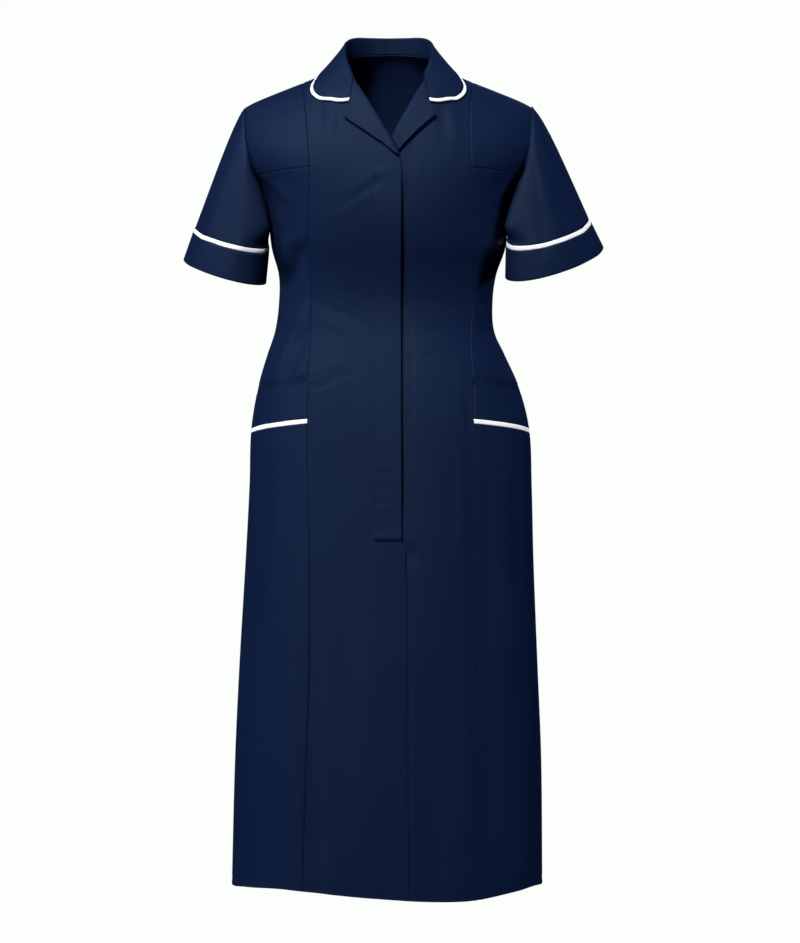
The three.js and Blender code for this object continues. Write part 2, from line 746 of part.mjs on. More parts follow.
// Point of a sleeve: 0 at the armhole, 1 at the piping seam, 2 at the cuff's end
function sleevePoint(sleeve, down, share) {
  const seam = ringPoint(sleeve.seam, sleeve, share);
  if (down > 1) {
    const end = ringPoint(sleeve.end, sleeve, share);
    return besideBody(seam.lerp(end, down - 1), sleeve.side, 0);
  }
  const start = armholePoint(share, sleeve.side);
  const bulge = Math.sin(Math.PI * Math.sqrt(down)) * sleeve.bulge;
  const point = start.clone().lerp(seam, down);
  point.x += sleeve.side * bulge * Math.max(0, Math.cos(share * 2 * Math.PI));
  point.y -= bulge * Math.sin(share * 2 * Math.PI);
  const inward = Math.max(0, -Math.cos(share * 2 * Math.PI));
  const pressed = ease(down / 0.15) * ease((0.87 - down) / 0.3) * ease(inward * 1.6 - 0.3);
  return besideBody(point, sleeve.side, SLEEVE_PRESS * pressed);
}

function sleeveGrid(sleeve, from, to, rows, lift) {
  const grid = [];
  const centre = ringPoint(sleeve.seam, sleeve, 0).lerp(ringPoint(sleeve.seam, sleeve, 0.5), 0.5);
  for (let i = 0; i <= rows; i += 1) {
    const row = [];
    for (let j = 0; j < SLEEVE_ROUND; j += 1) {
      const point = sleevePoint(sleeve, from + (to - from) * (i / rows), j / SLEEVE_ROUND);
      const out = point.clone().sub(centre).setZ(0).normalize();
      row.push(point.addScaledVector(out, lift));
    }
    grid.push(row);
  }
  return grid;
}

function addSleeve(name, sleeve) {
  const [seamOut, endOut] = [sleeve.seam, sleeve.end].map(([outer]) => new THREE.Vector3(...outer));
  const cuff = seamOut.distanceTo(endOut);
  const pipingEnd = 1 + CUFF_PIPING / cuff;
  const gap = SEAM / cuff;
  const upper = sleeveGrid(sleeve, 0, 1 - gap / 2, SLEEVE_ROWS, 0);
  addPiece(`sleeve_${name}`, wallGeometry(upper, WALL, true));
  const piping = sleeveGrid(sleeve, 1, pipingEnd, 1, CUFF_LIFT / 2);
  addPiece(`cuff_piping_${name}`, wallGeometry(piping, WALL, true), true);
  const band = sleeveGrid(sleeve, pipingEnd + gap, 2, 2, CUFF_LIFT);
  addPiece(`sleeve_cuff_${name}`, wallGeometry(band, WALL, true));
}

addFrontCentres();
addPlacket();
addSideFront(-1, "right");
addSideFront(1, "left");
addBack();
addCollar();
addLapel("right", -1, LAPEL_RIGHT);
addLapel("left", 1, LAPEL_LEFT);
addSleeve("right", SLEEVE_RIGHT);
addSleeve("left", SLEEVE_LEFT);

export default dress;
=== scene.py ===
"""A nurse's uniform dress as it is worn, hollow and filled out with no wearer.

Sizes are millimetres on the cloth, and the meshes are metres.
Front is towards -Y, and the wearer's right is -X.
Every panel is a thin wall on the body form of its solid, with its folds, seams and puckers worked into it.
"""

import math

import bpy
import numpy as np
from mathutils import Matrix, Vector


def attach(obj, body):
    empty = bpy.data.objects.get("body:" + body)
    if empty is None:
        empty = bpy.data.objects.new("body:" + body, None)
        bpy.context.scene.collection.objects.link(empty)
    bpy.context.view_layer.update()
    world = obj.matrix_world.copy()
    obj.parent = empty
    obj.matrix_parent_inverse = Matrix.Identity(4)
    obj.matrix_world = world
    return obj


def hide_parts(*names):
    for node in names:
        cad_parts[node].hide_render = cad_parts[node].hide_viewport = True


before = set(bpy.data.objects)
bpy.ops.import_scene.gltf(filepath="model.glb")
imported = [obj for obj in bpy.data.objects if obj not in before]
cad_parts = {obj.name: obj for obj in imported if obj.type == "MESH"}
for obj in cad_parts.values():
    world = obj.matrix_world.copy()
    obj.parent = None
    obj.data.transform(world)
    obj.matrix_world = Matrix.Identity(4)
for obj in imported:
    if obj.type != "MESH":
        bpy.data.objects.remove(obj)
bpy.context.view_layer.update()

bl_info = {
    "name": "Nurse uniform dress",
    "version": (1, 0, 0),
    "blender": (4, 5, 0),
    "location": "3D View > Sidebar > Uniform",
    "description": "Builds a worn nurse uniform dress round its fixed frame",
    "category": "Add Mesh",
}

MM = 0.001

# Cloth and its layers
LAYER = 2.7
STRIP = 1.2
ROUNDNESS = 2.2

# Levels and places of the body form
HEM_Z = -1168
CHEST_Z = -200
YOKE_Z = -157
UNDERARM_Z = -178
ARMHOLE_TOP_Z = -60
ARMHOLE_MID_Z = -118
ARMHOLE_ANGLE = 0.725
SIDE_TURN = 0.9992
SIDE_GAP = 0.0008
NECK_HALF_WIDTH = 62
NECK_BACK = 54
NECK_RISE = 25
NECK_ROUND = 0.3
NECK_STEEPER = 0.3
SHOULDER_Y = 4
BREAK_Z = -148
ROLL_SPACE = 1.4
FLY_END_Z = -676
PLACKET_TOP_Z = -152
PLACKET_OUTER_X = -19.5
PLACKET_SHOWS_Z = -150
PLACKET_START_LIFT = -0.7
PLACKET_RISE = 2.2
PLACKET_RISE_OVER = 70
PLACKET_SEWN_DROP = 1.0
PLACKET_SEWN_HALF_WIDTH = 1.8
PLACKET_END_RISE = 0.8
PLACKET_END_DROP = 1.8
UNDERLAP_MARGIN = 6
UNDERLAP_RAMP = 14
UNDERLAP_END = 42
UNDERLAP_END_RAMP = 28
UNDERLAP_DIP = 3.2
UNDERLAP_DIP_AT = 5
UNDERLAP_DIP_HALF_WIDTH = 6
UNDERLAP_DIP_FROM = 10
UNDERLAP_DIP_RAMP = 40
UNDERLAP_DIP_END_RAMP = 60
BELOW_FLY = 10
BELOW_FLY_RAMP = 20
ZIP_X = -6
ZIP_PUCKER = 0.5
ZIP_PUCKER_TOP_Z = -500
ZIP_PUCKER_HALF_WIDTH = 9
POCKET_MOUTH_Z = -460
PIPING_TOP_Z = -507
PIPING_BOTTOM_Z = -513.3
POCKET_OVERLAP_Z = -485
POCKET_PASS = 16
POCKET_PASS_RAMP = 12
TOP_END = 0.9992
LEVEL_PASSES = 6

# Widths that set how many columns each panel's mesh has
RIGHT_CENTRE_WIDTH = 126
LEFT_CENTRE_WIDTH = 130
PLACKET_WIDTH = 38
SIDE_WIDTH = 100
BACK_WIDTH = 560
# Rows that the front edges need at the fly's two ends
FLY_ROWS = (-664, -676, -684, -690, -160, -158.5)

# Body sections: level, half width, depth to the front, depth to the back, x of the middle
HALF_WIDTH, FRONT_DEPTH, BACK_DEPTH, MIDDLE_X = 1, 2, 3, 4
SECTIONS = (
    (-1168, 221, 168, 170, -2), (-990, 218, 162, 166, -0.5), (-850, 212, 154, 160, 0),
    (-706, 205, 143, 154, 1.5), (-600, 201, 134, 149, 3), (-520, 198, 126, 142, 2.5),
    (-459, 185.5, 117, 130, 0), (-415, 169.5, 108, 117, -3.5), (-380, 156, 101, 106, -5.5),
    (-340, 152, 99, 99, -4), (-300, 154.5, 106, 100, -1.5), (-262, 166, 116, 104, 0),
    (-230, 170, 122, 108, 0), (-205, 174, 124, 111, 0), (-178, 184, 124, 113, 0),
    (-150, 204, 123, 114, 0), (-120, 217, 122, 114, 0), (-60, 222, 121, 114, 0), (60, 222, 121, 114, 0),
)

# How far the front of the hem rises: x, rise
HEM_RISE = (
    (-221, 2), (-200, 8), (-150, 13), (-110, 12), (-33, 7), (68, 0), (125, 0), (180, 6), (205, 7), (221, 2),
)
HEM_RISE_BACK = 2
HEM_RISE_FROM = -920

# Shoulder line: distance from the middle, level
SHOULDER = ((0, 8), (62, 0), (110, -21), (160, -40.5), (193, -54), (222, -70))

# How far each row of the cloth falls towards the side seam: level, fall
FALLS = (
    (-1168, 0), (-900, 6), (-706, 10), (-507, 14), (-459, 11), (-340, 6), (-230, 3), (-178, 0), (-168, 2),
    (-157, 6),
)

# Front edges and princess seams: level, distance from the middle to the piece's own side
LAP_EDGE = (
    (0, 62), (-12, 57), (-31.7, 49.7), (-146.6, -17), (-156, -18.4), (-300, -17.5), (-676, -18.5),
    (-690, -24.4), (-760, -27), (-1000, -28), (-1168, -28.5),
)
UNDERLAP_EDGE = (
    (0, 62), (-12, 58), (-30.3, 53.6), (-120, 6.2), (-138, -3.4), (-160, -14), (-664, -14), (-690, 24.7),
    (-760, 27), (-1000, 28), (-1168, 28.5),
)
PRINCESS = {
    -1: (
        (-24, 122), (-60, 118), (-88, 114.7), (-157, 110), (-260, 112.3), (-307, 107.6), (-351, 108),
        (-423, 110.6), (-452, 112), (-564, 111.8), (-702, 109), (-885, 109.3), (-1005, 113), (-1168, 117),
    ),
    1: (
        (-24, 119.5), (-88, 113.7), (-130, 114.5), (-158, 116), (-207, 121), (-260, 121), (-394, 114.4),
        (-461, 118.5), (-507, 118.8), (-530, 123), (-702, 123.4), (-946, 125.8), (-1168, 125.6),
    ),
}

# Folds: x and z of the top end, x and z of the bottom end, half width, height (valleys below 0)
FOLD_PAST = 0.1
FOLD_FADE = 0.35
FOLD_SIDE_FADE = 0.125
FRONT_FOLDS = (
    (-104, -690, -95, -1190, 14, -3.5), (134, -530, 140, -1190, 18, -5), (-126, -720, -130, -1190, 14, 3),
    (-112, -341, -168, -462, 11, 4), (-114, -382, -148, -458, 10, -3), (-138, -249, -145, -298, 10, 3),
    (-116, -256, -140, -322, 11, -4), (123, -274, 122, -396, 12, 3), (142, -274, 134, -356, 12, -3),
    (-20, -800, -35, -1190, 26, 3), (60, -860, 66, -1190, 24, -3),
)
BACK_FOLDS = (
    (-150, -560, -158, -1190, 18, -5), (-96, -640, -104, -1190, 20, 4), (10, -760, 4, -1190, 26, -4),
    (92, -600, 100, -1190, 20, 4), (148, -540, 158, -1190, 18, -5), (-60, -300, -100, -372, 14, 4),
    (62, -290, 104, -368, 14, 4),
)
# Smaller creases, which only the cloth's surface has
FRONT_CREASES = (
    (-171, -176, -146, -212, 4, -2.6), (-160, -172, -138, -206, 4, 1.8), (-166, -188, -150, -222, 4.5, -1.8),
    (171, -178, 158, -204, 4, -2.2), (165, -174, 150, -206, 4.5, 1.4),
    (-79, -66, -84, -150, 8, 1.6), (-66, -64, -70, -118, 5, -1.7), (-93, -60, -96, -104, 6, -1.3),
    (-57, -66, -60, -104, 5, 1.1), (74, -68, 78, -122, 7, -1.1), (88, -64, 92, -118, 7, 0.9),
    (-185, -114, -174, -104, 3, -1.3), (-56, -196, 2, -156, 8, 0.9), (-62, -214, -6, -172, 9, -0.8),
    (-20, -196, -88, -236, 10, 0.7), (60, -196, 96, -232, 10, 0.7),
    (-106, -362, -38, -396, 6, 0.8), (-104, -340, -30, -376, 7, -0.8), (-84, -328, -24, -352, 6, 0.6),
    (-52, -442, -104, -466, 7, -1.4), (-60, -424, -108, -446, 7, 0.9), (-30, -470, -98, -494, 8, 0.6),
    (32, -334, 92, -352, 8, -0.6), (40, -372, 104, -362, 8, 0.7), (38, -424, 110, -404, 9, -0.7),
    (34, -520, 100, -508, 10, 0.6), (112, -420, 160, -452, 7, 1.2), (118, -440, 158, -466, 6, -1),
    (-118, -300, -150, -384, 6, 1.6), (-124, -330, -158, -420, 6, -1.6), (-112, -420, -140, -462, 5, 1.4),
    (128, -330, 150, -424, 7, 1.1), (140, -318, 156, -396, 6, -1.2), (114, -238, 126, -286, 6, 1.2),
    (-148, -520, -160, -760, 12, 1.2), (-176, -560, -184, -900, 10, -1.4), (160, -560, 172, -880, 12, 1.2),
    (178, -600, 192, -960, 9, -1.4), (-64, -640, -56, -980, 12, -1), (-84, -820, -76, -1180, 10, 1.1),
    (16, -700, 10, -1060, 9, 0.9), (44, -720, 40, -1180, 11, 0.9), (88, -560, 92, -900, 11, -1),
    (104, -900, 108, -1185, 9, 1.2), (-8, -620, -16, -880, 14, 0.7), (-150, -980, -162, -1190, 14, -1.6),
    (176, -1000, 184, -1190, 12, 1.8), (112, -430, 117, -900, 7, -1.7),
)
BACK_CREASES = (
    (-120, -182, -150, -232, 6, -1.6), (122, -180, 154, -236, 6, -1.6), (-30, -60, -24, -140, 9, 0.9),
    (34, -58, 30, -150, 9, -0.8), (-70, -250, -118, -330, 8, -1.5), (74, -244, 120, -322, 8, -1.5),
    (-36, -320, -96, -392, 8, 1.3), (30, -316, 92, -398, 9, 1.3), (-20, -352, -70, -420, 8, -1.1),
    (16, -362, 66, -430, 8, -1.1), (-128, -330, -160, -430, 7, 1.5), (130, -324, 160, -426, 7, 1.4),
    (-60, -520, -72, -760, 14, 1), (56, -540, 66, -800, 14, 1), (-172, -640, -186, -980, 11, -1.4),
    (176, -600, 190, -940, 11, -1.4), (-30, -700, -36, -1050, 12, -1), (44, -760, 40, -1180, 12, 1.1),
    (-120, -860, -128, -1190, 12, 1.3), (122, -900, 128, -1190, 12, -1.2),
)

# Waist darts of the back
DART_X = 78
DART_SPREAD = 10
DART_SPREAD_OVER = 160
DART_WAIST_Z = -340
DART_TOP_Z = -170
DART_BOTTOM_Z = -520
DART_RAMP = 60
DART_DEPTH = 0.9
DART_HALF_WIDTH = 1.6

# Seams, puckers and stitch lines
SEAM_DROP = 1.9
SEAM_ROLL = 0.65
PUCKER = 0.16
PUCKER_REACH = 5.0
PUCKER_PITCH = 11.0
HEM_STITCH = 8.5
HEM_ROPE = 0.22
HEM_ROPE_PITCH = 9.0
HEM_ROPE_SLANT = 0.6
HEM_ROPE_WANDER = 1.5
HEM_ROPE_WANDER_OVER = 37
HEM_ROPE_REACH = 5
HEM_STITCH_DEPTH = 0.35
HEM_STITCH_HALF_WIDTH = 1.2
HEM_THREAD = 0.42
FLY_STITCH_TOP_Z = -168
FLAT_THREAD = 0.75
BAR_PITCH = 1.0 * MM
BAR_STITCH = 1.9 * MM
# Stitched tick of the pocket bag: from x, to x, level
POCKET_TICK = (-149, -131, -701)
# Bars of close stitches: x, z at both ends, height over the cloth's middle
BARTACKS = (
    (-19.2, -165, -19.2, -175.5, 0.85), (-18.6, -616, -18.6, -626, 1.6), (-109, -456, -103.5, -456, 0.85),
    (116.5, -458, 121.5, -458.5, 0.85),
)
EDGE_STEPS = (0, 0.5, 1.1, 1.9, 3.0)

# Collar stations from the front to the middle of the back: the roll's x, y, z, the neck seam's
# x, y, z, then the outer edge's side of the shoulder line (-1 front), x, and depth under that line
COLLAR = (
    (50, -75, -30, 47, -71.5, -31.5, -1, 53, 67.5), (51, -73, -27, 48, -69.5, -29, -1, 67, 65),
    (52, -70.5, -23.5, 49, -67, -26, -1, 82, 56), (53.5, -67, -18.5, 50, -63.5, -21.5, -1, 96, 47),
    (55.5, -62, -12, 52, -58, -16, -1, 106, 33.5), (58, -54, -3.5, 54.5, -49, -9.5, -1, 108, 22),
    (60.5, -42, 7, 58, -36, -3.5, -1, 101, 9), (62.5, -24, 19, 60.5, -18, 0.5, -1, 93, 2),
    (62, -2, 31, 62, 3, 4, 1, 88, 1), (58, 20, 40.5, 58, 24.5, 14, 1, 74, 7),
    (47, 38, 46.5, 46.5, 41, 20.5, 1, 58, 23.5), (27, 51, 48.5, 27.5, 54, 24.4, 1, 35, 31),
    (0, 55.5, 48.7, 0, 58.5, 26, 1, 0, 34.5),
)
COLLAR_STATIONS = 90
COLLAR_ROLL_AT = 160
COLLAR_STAND_STEPS = 14
COLLAR_PIPING = 5
COLLAR_LIFT = 3.4
COLLAR_SKEW = 3
COLLAR_SKEW_SHARE = 0.3
COLLAR_STAND = 0.55
COLLAR_OVER = 0.16
COLLAR_OVER_RISE = 1.2
COLLAR_MIDDLE = 0.55
COLLAR_MIDDLE_RISE = 2.5
COLLAR_FRONT_SHARE = 0.45
COLLAR_FRONT_BLEND = 0.3
COLLAR_BOW_FRONT = -1.5
COLLAR_BOW_BACK = 0.5

# Lapels in the front view: the roll's x and z, then the outer edge's x and z
LAPELS = {
    "right": (
        (48.6, -35, 52.4, -63.5), (34.6, -59, 57, -75.5), (18, -86.6, 61.1, -89.5), (3, -112.4, 30, -111),
        (-8, -131.4, 6.2, -127), (-14.6, -142.6, -9.5, -141),
    ),
    "left": (
        (51.6, -35.5, 55.6, -64), (40.4, -56, 60.5, -74.5), (27, -80.8, 65.1, -86.5),
        (16.6, -100.4, 41, -107.5), (6.4, -120.4, 13.8, -136.2),
    ),
}
# Across a lapel: place, millimetres from the roll line, share of the width, height over the cloth
LAPEL_ACROSS = (
    (0, -2.6, 0, 1.6), (1, -3, 0, 3), (2, -1.6, 0, 4.6), (3, 2.4, 0, 5.4), (4, 1, 0.35, 5.2),
    (5, 0, 0.7, 5.1), (6, 0, 1, 5.4),
)
LAPEL_FULL = 16

# Sleeves: outer and inner corners of the piping ring and of the cuff's end, all x, y, z,
# then half the sleeve's depth, how far its front hangs under the middle, and its outward bulge
SLEEVES = {
    "right": {
        "side": -1, "seam": ((276.5, 12, -229.5), (170.5, -22, -261)),
        "end": ((292.5, 12, -275), (175.5, -22, -312.5)), "depth": 62, "dip": 15, "bulge": 5,
        "sewn": (),
    },
    "left": {
        "side": 1, "seam": ((287, 16, -216.5), (168, -34, -254)),
        "end": ((307, 16, -257), (167, -34, -305)), "depth": 62, "dip": 22, "bulge": 7,
        "sewn": ("top",),
    },
}
# Sleeve folds: turn at the top, turn at the bottom, from, to (0 armhole, 2 cuff end), half width, height
SLEEVE_FOLDS = {
    "right": (
        (0.17, 0.10, 0.1, 2.1, 0.030, 2.4), (0.24, 0.19, 0.2, 1.3, 0.028, -1.8),
        (0.30, 0.27, 0.3, 2.1, 0.030, 1.2), (0.385, 0.39, 0.05, 0.98, 0.045, -8),
        (0.80, 0.76, 0.2, 2.1, 0.035, 1.8), (0.70, 0.67, 0.1, 1.6, 0.030, -1.6),
        (0.90, 0.88, 0.3, 1.5, 0.03, -1.2),
    ),
    "left": (
        (0.16, 0.09, 0.1, 2.1, 0.030, 2.2), (0.27, 0.28, 0.0, 1.4, 0.030, -3.0),
        (0.22, 0.19, 0.1, 2.1, 0.028, 1.6), (0.38, 0.385, 0.05, 0.98, 0.05, -9),
        (0.80, 0.77, 0.2, 2.1, 0.035, 1.8), (0.70, 0.68, 0.1, 1.6, 0.030, -1.6),
        (0.91, 0.89, 0.3, 1.5, 0.03, -1.2),
    ),
}
SLEEVE_ROUND = 150
SLEEVE_START = 0.3
SLEEVE_FREE_ABOVE = -150
SLEEVE_FREE_FALL = 40
SLEEVE_CLEAR = 1.7
SLEEVE_SOFT = 1.5
SLEEVE_PRESS = 0.92
CUFF_PIPING = 6
CUFF_LIFT = 1.1

# Stage, in metres and watts
FLOOR_Z = -1.62
FLOOR_REACH = 14.0
PALE = (0.972, 0.99, 0.972, 1)
CAMERA_PLACE = (0.0164, -3.5, -0.580)
CAMERA_SENSOR = 36
CAMERA_LENS = 93.4
# Lights: name, place, aim, size, power
LIGHTS = (
    ("key", (-1.2, -2.7, 2.8), (0, 0, -0.4), 0.8, 218),
    ("fill", (-1.9, -4.6, 0.6), (0, 0, -0.6), 2.5, 62),
    ("left", (-4.8, -0.9, 0.2), (0, 0, -0.6), 1.5, 135),
    ("right", (4.8, -0.8, 0.3), (0, 0, -0.6), 1.5, 160),
    ("back", (1.2, 5.0, 2.5), (0, 0, -0.5), 3.0, 460),
)

NAVY_SLOT = "navy_cloth"
WHITE_SLOT = "white_piping"


def measure(name, about, default, least, most):
    return bpy.props.FloatProperty(
        name=name, description=about, default=default * MM, min=least * MM, max=most * MM, unit="LENGTH",
    )


def shade(name, about, default):
    return bpy.props.FloatVectorProperty(
        name=name, description=about, default=default, size=3, min=0, max=1, subtype="COLOR",
    )


class UniformSizes(bpy.types.PropertyGroup):
    """Sizes of the cloth and its sewing"""

    cloth: measure("Cloth", "Thickness of a panel with its turnings", 1.4, 0.5, 3)
    piping: measure("Piping", "Thickness of the flat piping", 1.6, 0.5, 3)
    step: measure("Step", "Distance between two rows of a panel's mesh", 4.5, 2, 20)
    folds: bpy.props.FloatProperty(
        name="Folds", description="Strength of the small creases",
        default=1.0, min=0.0, max=2.0, subtype="FACTOR",
    )
    stitch: measure("Stitch", "Length of one stitch", 2.3, 1, 6)
    stitch_pitch: measure("Stitch pitch", "Distance from one stitch to the next", 3.0, 1, 8)
    thread: measure("Thread", "Thickness of the sewing thread", 0.45, 0.1, 1)
    weave: measure("Weave", "Distance from one thread of the weave to the next", 0.55, 0.2, 3)


class UniformColours(bpy.types.PropertyGroup):
    """Colours of the cloth, the piping and the stage"""

    navy: shade("Navy", "The cloth's darker colour", (0.0027, 0.0080, 0.033))
    navy_light: shade("Light navy", "The cloth's lighter colour", (0.0034, 0.0095, 0.037))
    white: shade("White", "Colour of the piping", (0.86, 0.87, 0.88))
    thread: shade("Thread", "Colour of the sewing thread", (0.0016, 0.0046, 0.019))
    floor: shade("Floor", "Colour of the floor", (0.0, 0.0, 0.0))


def sizes():
    return bpy.context.scene.uniform_sizes


def colours():
    return bpy.context.scene.uniform_colours


# Body form

def smooth_at(table, place, column=1):
    """Value of a table's column at a place, on a smooth curve through its rows."""
    rows = np.asarray(table, float)
    if rows[-1, 0] < rows[0, 0]:
        rows = rows[::-1]
    x, y = rows[:, 0], rows[:, column]
    spot = np.clip(np.asarray(place, float), x[0], x[-1])
    i = np.clip(np.searchsorted(x, spot, side="right") - 1, 0, len(x) - 2)
    before = np.maximum(np.arange(len(x)) - 1, 0)
    after = np.minimum(np.arange(len(x)) + 1, len(x) - 1)
    slope = (y[after] - y[before]) / (x[after] - x[before])
    span = x[i + 1] - x[i]
    t = (spot - x[i]) / span
    rise = t * t * (3 - 2 * t)
    bend = span * (slope[i] * t * (1 - t) ** 2 - slope[i + 1] * t * t * (1 - t))
    return y[i] * (1 - rise) + y[i + 1] * rise + bend


def straight_at(table, place, column=1):
    """The same on straight lines between the rows."""
    rows = np.asarray(table, float)
    if rows[-1, 0] < rows[0, 0]:
        rows = rows[::-1]
    return np.interp(place, rows[:, 0], rows[:, column])


def ease(value):
    t = np.clip(value, 0, 1)
    return t * t * (3 - 2 * t)


def top_line(x, front):
    """Depth, level and share of the neck on the body's top edge over x."""
    out = np.abs(x)
    in_neck = np.maximum(0, 1 - (out / NECK_HALF_WIDTH) ** 2) * ~front
    y = SHOULDER_Y + NECK_BACK * np.sqrt(in_neck)
    z = np.where(in_neck > 0, NECK_RISE * in_neck**NECK_ROUND, smooth_at(SHOULDER, out))
    return y, z, in_neck


def body_point(turn, z):
    """Points of the plain body. The turn is 0 at the front, 1 at the wearer's left side, 2 at the back."""
    turn, z = np.broadcast_arrays(np.asarray(turn, float), np.asarray(z, float))
    across, along = np.sin(turn * math.pi / 2), np.cos(turn * math.pi / 2)
    power = 2 / ROUNDNESS
    out = smooth_at(SECTIONS, z, HALF_WIDTH) * np.sign(across) * np.abs(across) ** power
    x = out + smooth_at(SECTIONS, z, MIDDLE_X)
    front = along >= 0
    depth = np.where(front, smooth_at(SECTIONS, z, FRONT_DEPTH), smooth_at(SECTIONS, z, BACK_DEPTH))
    reach = depth * np.abs(along) ** power
    top_y, top_z, neck = top_line(x, front)
    height = np.clip((z - CHEST_Z) / (top_z - CHEST_Z), 0, 1)
    fall = (1 - height**ROUNDNESS) ** (1 / ROUNDNESS + NECK_STEEPER * neck)
    over = np.where(front, top_y - (reach + top_y) * fall, top_y + (reach - top_y) * fall)
    y = np.where(z <= CHEST_Z, np.where(front, -reach, reach), over)
    return np.stack([x, y, z], -1)


def turn_at(x, z, front=True):
    """Turn of the point at x on the front, or on the back."""
    out = x - smooth_at(SECTIONS, z, MIDDLE_X)
    share = np.minimum(1, np.abs(out) / smooth_at(SECTIONS, z, HALF_WIDTH))
    turn = np.arcsin(share ** (ROUNDNESS / 2)) * 2 / math.pi
    return np.where(out < 0, -1, 1) * (turn if front else 2 - turn)


def unit(vectors):
    return vectors / np.maximum(np.linalg.norm(vectors, axis=-1, keepdims=True), 1e-9)


def body_normal(turn, z):
    """Outward normals of the plain body."""
    step_turn, step_z = 0.004, 0.6
    around = body_point(turn + step_turn, z) - body_point(turn - step_turn, z)
    up = body_point(turn, z + step_z) - body_point(turn, z - step_z)
    return unit(np.cross(around, up))


def fold_height(folds, x, z):
    """Soft ridges and valleys along slanting lines."""
    height = np.zeros_like(x)
    for x0, z0, x1, z1, half_width, lift in folds:
        t = (z0 - z) / (z0 - z1)
        across = (x - (x0 + (x1 - x0) * t)) / half_width
        along = ease((t + FOLD_PAST) / FOLD_FADE) * ease((1 + FOLD_PAST - t) / FOLD_FADE)
        height += lift * np.exp(-across * across) * along
    return height


def folds_at(turn, x, z):
    """Height of all folds and creases on the body's surface."""
    quarter = np.abs(turn) <= 1
    front = fold_height(FRONT_FOLDS, x, z) + sizes().folds * fold_height(FRONT_CREASES, x, z)
    back = fold_height(BACK_FOLDS, x, z) + sizes().folds * fold_height(BACK_CREASES, x, z)
    fade = ease(np.abs(np.abs(turn) % 2 - 1) / FOLD_SIDE_FADE)
    return np.where(quarter, front, back) * fade


def cloth_point(turn, z, lift=0.0):
    """Points of the cloth with its folds, moved out by a lift."""
    point = body_point(turn, z)
    height = folds_at(turn, point[..., 0], point[..., 2]) + lift
    return point + body_normal(turn, z) * np.asarray(height)[..., None]


def hem_rise(x, z, front):
    rise = smooth_at(HEM_RISE, x) if front else HEM_RISE_BACK
    return rise * ease((HEM_RISE_FROM - z) / (HEM_RISE_FROM - HEM_Z))


def top_level(g, x, front, fall):
    """Level of row g, from 0 at the yoke seam to 1 at the shoulder line, over x."""
    top = top_line(x, np.full(x.shape, front))[1]
    power = 2 / ROUNDNESS
    start = np.arcsin(((YOKE_Z - CHEST_Z) / (top - CHEST_Z)) ** (1 / power))
    angle = start + g * (math.pi / 2 - start)
    return CHEST_Z + np.sin(angle) ** power * (top - CHEST_Z) - fall * (1 - g) ** 2


def armhole_turn(z):
    down = np.clip((z - ARMHOLE_MID_Z) / (UNDERARM_Z - ARMHOLE_MID_Z), 0, 1)
    return 1 - (1 - ARMHOLE_ANGLE) * np.sqrt(1 - down * down)


def pucker(along, seed, pitch=PUCKER_PITCH):
    """Uneven ripple along a seam, between about -1 and 1."""
    drift = 0.35 * np.sin(along / 41.0 + seed) + 0.25 * np.sin(along / 17.3 + 2.1 * seed)
    size = 0.55 + 0.45 * np.sin(along / 63.0 + 1.7 * seed)
    return size * np.sin(2 * math.pi * (along / pitch + drift))


def levels(bottom, top, dense=(True, True), keep=()):
    """Rows between two levels, closer together at the ends that are asked for."""
    step = sizes().step / MM
    inside = np.linspace(bottom, top, max(2, round((top - bottom) / step) + 1))
    low = [bottom + d for d in EDGE_STEPS] if dense[0] else [bottom]
    high = [top - d for d in EDGE_STEPS] if dense[1] else [top]
    inside = [z for z in inside if low[-1] + 1.5 < z < high[-1] - 1.5]
    inside = [z for z in inside if all(abs(z - k) > 1 for k in keep)]
    return np.array(sorted({*low, *inside, *high, *keep}))


def shares(width):
    """Shares across a panel, closer together at its edges."""
    edge = np.array(EDGE_STEPS) / width
    count = max(3, round((1 - 2 * edge[-1]) * width / (sizes().step / MM)))
    inside = np.linspace(edge[-1], 1 - edge[-1], count + 1)[1:-1]
    return np.concatenate([edge, inside, 1 - edge[::-1]])


def distances(points, axis):
    """Distance along the rows or columns of a grid, from its first line."""
    gaps = np.linalg.norm(np.diff(points, axis=axis), axis=-1)
    pad = [(0, 0), (0, 0)]
    pad[axis] = (1, 0)
    return np.cumsum(np.pad(gaps, pad), axis=axis)


def panel_grid(panel):
    """Grid of cloth points of one panel, with its folds, rolled seams and puckers."""
    front = panel.get("front", True)
    across = shares(panel["width"])[None, :]
    slant = panel.get("slant", lambda share: 0 * share)(across)
    blocks = []
    for rows, level_of in (
        (panel.get("rows"), lambda v, x: v - smooth_at(FALLS, v) * slant + hem_rise(x, v, front)),
        (panel.get("tops"), lambda g, x: top_level(g, x, front, smooth_at(FALLS, YOKE_Z) * slant)),
    ):
        if rows is None or len(rows) == 0:
            continue
        value = np.asarray(rows, float)[:, None]
        x = np.zeros((len(value), across.shape[1]))
        for _ in range(LEVEL_PASSES):
            z = level_of(value, x)
            turn = panel["inner"](z) * (1 - across) + panel["outer"](z) * across
            x = body_point(turn, z)[..., 0]
        blocks.append((turn, z))
    turn = np.concatenate([b[0] for b in blocks])
    z = np.concatenate([b[1] for b in blocks])
    base = body_point(turn, z)
    height = folds_at(turn, base[..., 0], z)
    if "lift" in panel:
        height = height + panel["lift"](base[..., 0], z, across)
    u, v = distances(base, 1), distances(base, 0)
    height = height + edge_relief(panel, u, v, base[..., 0], z)
    points = base + body_normal(turn, z) * height[..., None]
    return points, np.stack([u, v], -1)


